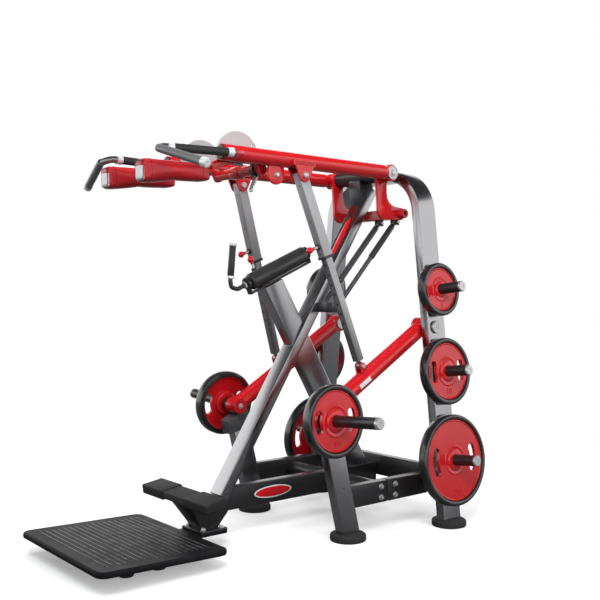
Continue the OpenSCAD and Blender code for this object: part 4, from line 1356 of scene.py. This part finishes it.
@dataclass
class Linkage(Assembly):
    """Struts with their pull knobs, and the weight levers with their loading pegs."""

    strut_top: Triple = (-689.0, 227.0, 1591.0)
    strut_low: Triple = (-406.0, 305.0, 755.0)
    sleeve: float = 372.0
    pin_at: float = 318.0
    hole_pitch: float = 45.0
    lever_long: float = 760.0
    lever_y: float = 305.0
    drop: float = 30.48
    peg_rise: float = 4.4
    peg_reach: float = 344.0

    def build(self) -> None:
        """Makes and hands over struts, knobs, levers and pegs."""
        self.build_sleeve()
        self.build_inner_tube()
        self.build_pin()
        self.build_lever()
        self.build_peg()

    def strut(self) -> Matrix:
        """Place of the left strut at its top bolt, with its own Z upwards along it."""
        run = Vector(self.strut_low) - Vector(self.strut_top)
        roll = math.degrees(math.asin(run.y / run.length))
        pitch = -math.degrees(math.asin(run.x / run.length / math.cos(math.radians(roll))))
        return spot(*self.strut_top, turn("Y", pitch), turn("X", roll))

    @property
    def strut_long(self) -> float:
        """Distance between the strut's two ends in millimetres."""
        return (Vector(self.strut_low) - Vector(self.strut_top)).length

    def lever(self) -> Matrix:
        """Place of the weight levers at their pivot, with their own -X along them."""
        return spot(0, 0, LOWER_AXLE_Z, turn("Y", -self.drop))

    def build_sleeve(self) -> None:
        """Outer square tube, with rivets on its front and a plastic collar at its mouth."""
        bench, place = self.bench, self.strut()
        tube = bench.block("strut_sleeve", (-25, -22.4, -self.sleeve), (25, 22.4, 16), place, 3, 3)
        self.pair(tube, "strut_{side}", "silver_tube", Finishes.SILVER, "strut_sleeve_{side}")
        collar = bench.block("strut_collar", (-27, -25, -self.sleeve - 5), (27, 25, -self.sleeve + 7), place, 2, 3)
        rivets = []
        for z in (-40, -205, -352):
            rivet = [(0, -1), (3.6, -1), (3.6, 0.6), (2.6, 1.6), (0, 2.0)]
            rivets.append(bench.lathe("rivet", rivet, place @ shift(-25, 0, z) @ turn("Y", -90), 20))
        self.pair(bench.weld("strut_collar", collar, *rivets), "strut_{side}", "black_rubber", Finishes.PLASTIC)
        bush = bench.lathe("strut_bush", [(9, 0), (14, 0), (14, 7), (12.5, 9), (9, 9)],
                           place @ shift(-25, 0, -self.pin_at) @ turn("Y", -90), 28)
        self.pair(bush, "strut_{side}", "black_rubber", Finishes.PLASTIC)

    def build_inner_tube(self) -> None:
        """Inner square tube with index holes, its rod end and the eye."""
        bench, place, long = self.bench, self.strut(), self.strut_long
        tube = bench.block("strut_tube", (-18, -18, -long + 26), (18, 18, -150), place, 2, 3)
        spots = [place @ shift(0, 0, -self.pin_at - self.hole_pitch * k) @ turn("Y", -90) for k in range(1, 9)]
        cutter = bench.lathe("hole", [(0, 4), (5.5, 4), (5.5, 40), (0, 40)], Matrix(), 20)
        bench.bore(tube, bench.repeated("holes", cutter, spots))
        rod = bench.lathe("rod", [(0, 10), (7, 12), (9, 16), (9, 23), (13, 24), (13, 30), (0, 30)],
                          place @ shift(0, 0, -long), 28)
        eye = bench.lathe("eye", [(10, -9), (17, -9), (18, -7), (18, 7), (17, 9), (10, 9), (10, -9)],
                          spot(*self.strut_low, turn("X", -90)), 36)
        self.pair(bench.weld("strut_tube", tube, rod, eye), "strut_{side}", "dark_tube", Finishes.DARK_TUBE,
                  "strut_tube_{side}")

    def build_pin(self) -> None:
        """Pull knob: a plunger barrel, a stem and a ball."""
        bench = self.bench
        place = self.strut() @ shift(0, 0, -self.pin_at) @ turn("Y", -90)
        barrel = [(0, 2), (5.2, 2), (5.2, 22), (8, 23), (8, 38), (7.4, 39), (7.4, 56), (6, 58), (4.5, 58), (4.5, 66),
                  (0, 66)]
        self.pair(bench.lathe("strut_plunger", barrel, place, 28), "strut_pin_{side}", "knob_red", Finishes.ZINC)
        self.pair(self.ball("strut_knob", place @ shift(0, 0, 77)), "strut_pin_{side}", "knob_red", Finishes.KNOB,
                  "strut_pin_{side}")

    def build_lever(self) -> None:
        """Weight lever: a round tube with a cross head, a pivot boss and the strut's ears."""
        bench, place, long = self.bench, self.lever(), self.lever_long
        tube = bench.lathe("tube", [(0, 0), (38, 0), (38, long - 2), (36, long), (0, long)],
                           place @ shift(-long, self.lever_y, 0) @ turn("Y", 90), 64)
        axle = spot(0, 0, LOWER_AXLE_Z, turn("X", -90))
        keep = bench.lathe("keep", [(0, 333.4), (75, 333.4), (75, 420), (0, 420)], axle, 40)
        clear = bench.lathe("clear", [(0, 200), (46, 200), (46, 272), (0, 272)], axle, 40)
        bench.bore(tube, keep, clear)
        head = bench.lathe("head", [(0, 266.4), (35, 266.4), (38, 269), (38, 341), (36, 343), (0, 343)],
                           place @ shift(-long, 0, 0) @ turn("X", -90), 64)
        boss = bench.lathe("boss", [(15.1, 272.4), (41, 272.4), (43, 274), (43, 331), (41, 333), (15.1, 333),
                                    (15.1, 272.4)], axle, 56)
        parts = [tube, head, boss]
        outline = [(-461.5, 22), *arc(-434.5, 62, 17, 180, 0, 12), (-407.5, 22)]
        for y in (self.lever_y - 19, self.lever_y + 11):
            parts.append(bench.plate("ear", outline, 8, place @ shift(0, y + 8, 0) @ turn("X", 90), 1.5))
        body = "weight_lever_{side}"
        self.pair(bench.weld("weight_lever", *parts), body, "red_paint", Finishes.RED, "weight_lever_{side}")
        bolt = [(0, 258), (7, 258), (9, 260), (9, 263), (13, 263.4), (13, 266.6), (0, 266.6)]
        bolt = bench.lathe("lever_end_bolt", bolt, place @ shift(-long, 0, 0) @ turn("X", -90), 28)
        self.pair(bolt, body, "bright_steel", Finishes.ZINC)
        plaque = bench.block("lever_plaque", (-510, 341, -10), (-436, 343.4, 10), place, 0.5)
        self.pair(plaque, body, "red_paint", Finishes.PALE_VINYL)
        pin = [(0, 281), (9, 281), (10, 282.5), (10, 286), (6, 286), (6, 324), (10, 324), (10, 329), (8, 331), (0, 331)]
        pin = bench.lathe("strut_foot_pin", pin, place @ shift(-434.5, 0, 62) @ turn("X", -90), 28)
        self.pair(pin, body, "bright_steel", Finishes.ZINC)

    def peg_place(self) -> Matrix:
        """Place of the loading peg at the lever's end, with its own Z outwards."""
        end = self.lever() @ shift(-self.lever_long, 343, 0)
        return end @ turn("Y", self.drop) @ turn("X", self.peg_rise) @ turn("X", -90)

    def build_peg(self) -> None:
        """Loading peg: a shouldered black sleeve with a bright end."""
        bench, place, reach = self.bench, self.peg_place(), self.peg_reach
        peg = [(0, -2), (30, -2), (31, 0), (31, 37), (29, 40), (25, 40.2), (25, reach - 14), (0, reach - 14)]
        self.pair(bench.lathe("loading_peg", peg, place, 48), "weight_lever_{side}", "frame_black", Finishes.CHARCOAL,
                  "loading_peg_{side}")
        tip = self.peg_tip(reach, 15, 21.5)
        self.pair(bench.lathe("loading_peg_tip", tip, place, 48), "weight_lever_{side}", "bright_steel", Finishes.ZINC)


@dataclass
class BalanceSprings(Assembly):
    """Two balance springs in bellows between the yoke and the mast."""

    high: Pair = (0.0, 1432.0)
    low: Pair = (-385.0, 1015.0)
    rows: tuple[float, float] = (-15.0, -125.0)
    mouths: tuple[float, float] = (170.0, 325.0)

    def build(self) -> None:
        """Makes and hands over the barrels and the rods."""
        bench = self.bench
        barrels, covers, rods, clips_high, clips_low = [], [], [], [], []
        for index, y in enumerate(self.rows):
            place, length = lean(self.low, self.high, y)
            (barrels if index == 0 else covers).append(
                bench.lathe("barrel", self.barrel(self.mouths[index], length, index == 0), place, 36))
            barrels.append(self.joint(spot(self.high[0], y, self.high[1], turn("X", -90))))
            rods.append(bench.lathe("rod", self.rod(), place, 32))
            rods.append(self.joint(spot(self.low[0], y, self.low[1], turn("X", -90))))
            clip = [(9.4, -3), (11.2, -3), (11.2, 3), (9.4, 3), (9.4, -3)]
            clips_high.append(bench.lathe("clip", clip, place @ shift(0, 0, length - 18), 28))
            clips_low.append(bench.lathe("clip", clip, place @ shift(0, 0, 18), 28))
        for name, parts, body, slot, finish, nodes in (
            ("spring_bellows", barrels, "spring_barrels", "gaiter_black", Finishes.BELLOWS, ("spring_barrels",)),
            ("spring_cover", covers, "spring_barrels", "gaiter_black", Finishes.PLASTIC, ()),
            ("spring_shafts", rods, "spring_rods", "gaiter_black", Finishes.BELLOWS, ("spring_rods",)),
            ("spring_clips_high", clips_high, "spring_barrels", "bright_steel", Finishes.ZINC, ()),
            ("spring_clips_low", clips_low, "spring_rods", "bright_steel", Finishes.ZINC, ()),
        ):
            self.hand_over(bench.weld(name, *parts), body, slot, finish, *nodes)
        pins = self.spring_pins("spring_foot_pins", self.low, self.rows)
        self.hand_over(pins, "base", "bright_steel", Finishes.ZINC)

    def joint(self, place: Matrix) -> Piece:
        """Ball joint at a spring's end: a ring round its pin."""
        ring = [(6.2, -9), (10, -9), (12, -5), (12, 5), (10, 9), (6.2, 9), (6.2, -9)]
        return self.bench.lathe("joint", ring, place, 28)

    @staticmethod
    def barrel(mouth: float, length: float, ribbed: bool) -> list[Pair]:
        """Outline of a barrel from the end of its bore, round its mouth to its neck, as bellows or smooth."""
        outline: list[Pair] = [(0, 478), (11.4, 478), (11.4, mouth), (13.0, mouth)]
        z, top = mouth + 3.0, length - 34
        while ribbed and z + 8 < top:
            outline += [(14.6, z), (14.6, z + 3.0), (12.4, z + 4.2), (12.4, z + 5.4)]
            z += 6.6
        neck = [(13, 29), (9, 26), (8, 24), (8, 9), (0, 9)]
        return [*outline, (14.6, z), (14.6, top), *[(radius, length - below) for radius, below in neck]]

    @staticmethod
    def rod() -> list[Pair]:
        """Outline of a rod: neck, shoulder and fine ribs up to its tip."""
        outline: list[Pair] = [(0, 9), (8, 9), (8, 26), (11, 30)]
        z = 34.0
        while z < 372:
            outline += [(11, z), (11, z + 3.0), (9.2, z + 4.2), (9.2, z + 5.4)]
            z += 6.6
        return [*outline, (11, z), (11, 379), (0, 380)]


@dataclass
class KneeRoller(Assembly):
    """Roller on the brace, the bent bar with its grip and the pull knob."""

    front: Pair = (-802.0, 1126.0)
    tilt: float = 23.5
    long: float = 352.0
    bar: tuple[Triple, ...] = ((-818, 0, 1119), (-862, 0, 1099), (-896, 0, 1106), (-902, 0, 1136), (-888, 0, 1290))
    grip_top: Triple = (-886.9, 0.0, 1302.0)

    def build(self) -> None:
        """Makes and hands over the roller and its bar."""
        bench = self.bench
        axis = spot(self.front[0], 0, self.front[1], turn("Y", -self.tilt))
        along = axis @ turn("Y", 90)
        long = self.long
        roller = [(10.2, 5), (24, 5), (31, 6.8), (36, 11.5), (38, 18), (38, long - 13), (36, long - 6.5),
                  (31, long - 1.8), (24, long), (10.2, long), (10.2, 5)]
        self.hand_over(bench.lathe("roller", roller, along, 64), "roller", "black_rubber", Finishes.ROLLER, "roller")
        shaft = [(0, -32), (9, -32), (10, -31), (10, long + 27), (9, long + 28), (0, long + 28)]
        shaft = bench.lathe("shaft", shaft, along, 32)
        bar = bench.pipe("bar", bent(self.bar, 17), 10, 6)
        self.hand_over(bench.weld("crank_bar", shaft, bar), "crank", "frame_black", Finishes.CHARCOAL, "crank_bar")
        nuts = [bench.lathe("nut", [(10, z), (16, z), (17, z + 1), (17, z + 8), (15.5, z + 9.6), (10, z + 9.6)],
                            along, 6) for z in (-28.5, long + 15)]
        self.hand_over(bench.weld("crank_nuts", *nuts), "crank", "bright_steel", Finishes.ZINC)
        place, reach = between(self.bar[-2], self.grip_top)
        grip = [(8, 20), (14, 20.5), (15, 22), (15, reach - 16), (14, reach - 14.4), (8, reach - 14)]
        self.hand_over(bench.lathe("crank_grip", grip, place, 36), "crank", "black_rubber", Finishes.GRIP, "crank_grip")
        ring = [(9, 9.5), (16, 9.5), (17, 10.7), (17, 18.5), (15.6, 20.5), (9, 20.5)]
        cap = [(9, reach - 14), (16, reach - 14), (17, reach - 12.6), (17, reach - 3), (14, reach - 0.4), (0, reach)]
        rings = [bench.lathe("ring", outline, place, 36) for outline in (ring, cap)]
        self.hand_over(bench.weld("crank_collars", *rings), "crank", "silver_tube", Finishes.COLLAR, "crank_grip")
        post = axis @ shift(88, 52, 0)
        stem = bench.lathe("crank_plunger", [(0, 22), (6, 22), (6, 56), (4.6, 58), (4.6, 70), (0, 70)], post, 28)
        self.hand_over(stem, "crank_pin", "bright_steel", Finishes.ZINC, "crank_pin")
        knob = self.ball("crank_knob", post @ shift(0, 0, 80))
        self.hand_over(knob, "crank_pin", "knob_red", Finishes.KNOB, "crank_pin")


@dataclass
class WeightPlates(Assembly):
    """Rubber-rimmed plates with cast red faces, stored on the uprights and loaded on the levers."""

    thick: float = 46.0
    frame: BaseFrame | None = None
    linkage: Linkage | None = None
    sizes: dict[str, tuple[float, str]] = field(default_factory=lambda: {
        "plate_small": (250.0, "5"), "plate_medium": (312.0, "10"), "plate_large": (420.0, "20"),
        "lever_plate": (312.0, "10"),
    })

    def build(self) -> None:
        """Makes each size once and hands over a copy on each side."""
        for stem, (wide, number) in self.sizes.items():
            place = self.place(stem)
            rim, face = self.rim(wide), self.face(wide, stem != "plate_small")
            for side in Side:
                upright = place if side is Side.LEFT else self.flipped(place)
                body = f"{stem}_{side.word}"
                tyre = self.bench.twin(rim, f"{body}_rim", upright)
                self.hand_over(tyre, body, "plate_iron", Finishes.PLATE_RUBBER, body)
                marked = self.bench.weld(f"{body}_face", self.bench.twin(face, "face"), self.number(number, wide, side))
                self.hand_over(self.bench.settle(marked, upright), body, "plate_iron", Finishes.PLATE_FACE, body)
            for spare in (rim, face):
                bpy.data.objects.remove(spare, do_unlink=True)

    def place(self, stem: str) -> Matrix:
        """Place of a plate on the left side, with its own Z outwards."""
        if stem == "lever_plate":
            return self.linkage.peg_place() @ shift(0, 0, 40.4)
        index = ("plate_small", "plate_medium", "plate_large").index(stem)
        return self.frame.store(self.frame.stored_z[index]) @ shift(0, 0, 6.4)

    @staticmethod
    def flipped(place: Matrix) -> Matrix:
        """Place on the right side that mirrors one on the left, without turning the piece inside out."""
        mirror = Matrix.Diagonal((1.0, -1.0, 1.0, 1.0))
        return mirror @ place @ mirror

    def rim(self, wide: float) -> Piece:
        """Rubber tyre of a plate."""
        r, t = wide / 2, self.thick
        outline = [(r - 26, 2), (r - 24, 0), (r - 7, 0), (r - 2.5, 2), (r, 7), (r, t - 8), (r - 1.4, t - 4),
                   (r - 4.4, t - 1.2), (r - 8, t), (r - 17, t), (r - 20, t - 1.5), (r - 22, t - 6), (r - 24, t - 9),
                   (r - 26, t - 12), (r - 26, 2)]
        return self.bench.lathe("rim", outline, Matrix(), 96)

    def face(self, wide: float, slots: bool) -> Piece:
        """Cast face of a plate with its hub, rings and hand slots."""
        bench, r, t = self.bench, wide / 2, self.thick
        hub = min(64.0, r * 0.42)
        outline = [(25.4, 3), (hub - 16, 3), (hub - 10, 6), (hub - 4, t - 26), (r - 42, t - 26), (r - 34, t - 28),
                   (r - 29, 5), (r - 25, 3), (r - 25, t - 7.4), (r - 29, t - 6.6), (r - 31, t - 7.4), (r - 33, t - 9.6),
                   (hub + 6, t - 9.6), (hub + 3, t - 7), (hub, t - 6.4), (hub - 3, t - 7), (hub - 6, t - 8.4),
                   (hub - 14, t - 8.4), (hub - 18, t - 4.4), (hub - 22, t - 3), (27, t - 3), (25.4, t - 4.4), (25.4, 3)]
        face = bench.lathe("face", outline, Matrix(), 96)
        if slots:
            mid, half, span = r * 0.61, 19.0, 38 if r < 180 else 42
            for first in (-span / 2, 180 - span / 2):
                last = first + span
                ends = [(mid * math.cos(math.radians(a)), mid * math.sin(math.radians(a))) for a in (last, first)]
                outline = [*arc(0, 0, mid + half, first, last, 16), *arc(*ends[0], half, last, last + 180, 10),
                           *arc(0, 0, mid - half, last, first, 16), *arc(*ends[1], half, first + 180, first + 360, 10)]
                bench.bore(face, bench.plate("slot", outline, t + 8, shift(0, 0, -4), 0.0))
            bench.chamfer(face, 1.6, 2, 60)
        return bench.smooth(face, 30.0)

    def number(self, words: str, wide: float, side: Side) -> Piece:
        """Raised plain number on the lower part of a face, upright for the one who reads it."""
        bench = self.bench
        bench.clear()
        bpy.ops.object.text_add()
        text = bpy.context.object
        text.data.body = words
        text.data.align_x, text.data.align_y = "CENTER", "CENTER"
        text.data.size = wide * 0.12 * MM
        text.data.extrude = 0.0012
        text.data.bevel_depth = 0.0004
        bench.single(text)
        bpy.ops.object.convert(target="MESH")
        mark = bench.named("number")
        level = self.thick - 9.0
        half = turn("Z", 180 if side is Side.LEFT else 0)
        return bench.settle(mark, half @ shift(0, -(wide / 2 - 62) if wide > 260 else -(wide / 2 - 46), level))


@dataclass
class Studio:
    """Pale floor, soft lamps, backdrop and camera."""

    eye: Triple = (-2.3376, -3.120, 1.085)
    heading: float = 50.45
    dip: float = 0.51
    lens: float = 51.8

    def build(self) -> None:
        """Sets up everything that isn't part of the machine."""
        bpy.context.scene.view_settings.view_transform = "Standard"
        self.build_camera()
        self.build_floor()
        self.build_backdrop()
        self.build_lamps()

    def build_camera(self) -> None:
        """Camera at the photograph's viewing angle."""
        a, b = math.radians(self.heading), math.radians(self.dip)
        aim = Vector((math.cos(a) * math.cos(b), math.sin(a) * math.cos(b), -math.sin(b)))
        bpy.ops.object.camera_add(location=self.eye, rotation=aim.to_track_quat("-Z", "Y").to_euler())
        camera = bpy.context.object
        camera.data.lens = self.lens
        camera.data.sensor_width = 36.0
        camera.data.clip_end = 200.0
        bpy.context.scene.camera = camera

    def build_floor(self) -> None:
        """Wide pale floor that fades to white away from the machine and keeps its shadow."""
        bpy.ops.mesh.primitive_circle_add(vertices=96, radius=30.0, fill_type="NGON")
        floor = bpy.context.object
        floor.name = "floor"
        material = bpy.data.materials.new("pale_floor")
        material.use_nodes = True
        tree = material.node_tree
        graph = Graph(tree)
        tree.nodes.clear()
        place = graph.add("TexCoord").outputs["Object"]
        distance = graph.add("VectorMath", {0: place}, operation="LENGTH").outputs["Value"]
        far = graph.remap(distance, (1.6, 3.4))
        pale = graph.add("BsdfDiffuse", {"Color": (0.74, 0.74, 0.74, 1.0), "Roughness": 0.6})
        lift = graph.add("Emission", {"Color": (1, 1, 1, 1), "Strength": 0.30})
        near = graph.add("AddShader", {0: pale.outputs[0], 1: lift.outputs[0]})
        white = graph.add("Emission", {"Color": (1, 1, 1, 1), "Strength": 1.0})
        blend = graph.add("MixShader", {0: far, 1: near.outputs[0], 2: white.outputs[0]})
        grey = graph.add("BsdfDiffuse", {"Color": (0.10, 0.10, 0.10, 1.0), "Roughness": 0.6})
        rays = graph.add("LightPath")
        away = graph.remap(distance, (2.0, 14.0), (0.04, 0.7))
        mirrored = graph.math("MULTIPLY", rays.outputs["Is Glossy Ray"], away)
        clear = graph.math("MAXIMUM", mirrored, rays.outputs["Is Transmission Ray"])
        shown = graph.math("MAXIMUM", rays.outputs["Is Camera Ray"], clear)
        seen = graph.add("MixShader", {0: shown, 1: grey.outputs[0], 2: blend.outputs[0]})
        out = graph.add("OutputMaterial")
        tree.links.new(seen.outputs[0], out.inputs["Surface"])
        floor.data.materials.append(material)

    def build_backdrop(self) -> None:
        """World: white behind the machine, a soft gradient in its reflections and dim light on it."""
        world = bpy.data.worlds.new("studio")
        bpy.context.scene.world = world
        world.use_nodes = True
        tree = world.node_tree
        tree.nodes.clear()
        graph = Graph(tree)
        way = graph.add("SeparateXYZ", {0: graph.add("TexCoord").outputs["Generated"]})
        room = graph.remap(way.outputs["Y"], (0.2, 0.7), (1.35, 1.7))
        ramp = graph.add("ValToRGB", {0: graph.remap(way.outputs["Z"], (-1.0, 1.0))})
        stops = ((0.0, 0.1), (0.46, 0.35), (0.52, 0.97), (0.726, 1.0), (0.76, 0.04), (1.0, 0.04))
        while len(ramp.color_ramp.elements) < len(stops):
            ramp.color_ramp.elements.new(0.5)
        for element, (position, value) in zip(ramp.color_ramp.elements, stops):
            element.position = position
            element.color = (value, value, value, 1.0)
        rays = graph.add("LightPath")
        shown = graph.add("Background", {"Color": ramp.outputs[0], "Strength": room})
        dim = graph.add("Background", {"Color": (0.92, 0.95, 1.0, 1.0), "Strength": 0.34})
        clear = graph.math("MAXIMUM", rays.outputs["Is Glossy Ray"], rays.outputs["Is Transmission Ray"])
        mirrored = graph.add("MixShader", {0: clear, 1: dim.outputs[0], 2: shown.outputs[0]})
        white = graph.add("Background", {"Color": (1.0, 1.0, 1.0, 1.0), "Strength": 1.0})
        both = graph.add("MixShader", {0: rays.outputs["Is Camera Ray"], 1: mirrored.outputs[0], 2: white.outputs[0]})
        out = graph.add("OutputWorld")
        tree.links.new(both.outputs[0], out.inputs["Surface"])

    @staticmethod
    def build_lamps() -> None:
        """Large soft lamps: a key over the left shoulder, a fill, a top light and two behind, unseen in reflections."""
        target = Vector((0.0, 0.0, 0.9))
        lamps = (
            ("key", (-2.6, -2.8, 4.0), (2.2, 2.2), 165.0),
            ("fill", (0.4, -4.6, 1.9), (2.4, 2.4), 90.0),
            ("top", (0.2, 0.3, 4.8), (3.4, 1.6), 130.0),
            ("rim", (1.6, 4.2, 2.6), (2.4, 1.6), 50.0),
            ("window", (-2.1, 3.4, 1.5), (1.5, 1.5), 42.0),
        )
        for name, place, size, power in lamps:
            aim = (target - Vector(place)).to_track_quat("-Z", "Y").to_euler()
            bpy.ops.object.light_add(type="AREA", location=place, rotation=aim)
            lamp = bpy.context.object
            lamp.name = f"{name}_lamp"
            lamp.data.shape = "RECTANGLE"
            lamp.data.size, lamp.data.size_y = size
            lamp.data.energy = power
            lamp.visible_glossy = False


def main() -> None:
    """Builds the studio and every sub-assembly."""
    logging.basicConfig(level=logging.INFO, format="%(name)s: %(message)s")
    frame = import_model()
    bench = Bench(frame["nodes"])
    Studio().build()
    base, linkage = BaseFrame(bench), Linkage(bench)
    assemblies = (
        base, FootEnd(bench), PressArm(bench), PadCarriage(bench), linkage, BalanceSprings(bench), KneeRoller(bench),
        WeightPlates(bench, frame=base, linkage=linkage),
    )
    for assembly in assemblies:
        assembly.build()
        LOG.info("%s is in place", type(assembly).__name__)


if __name__ == "__main__":
    main()
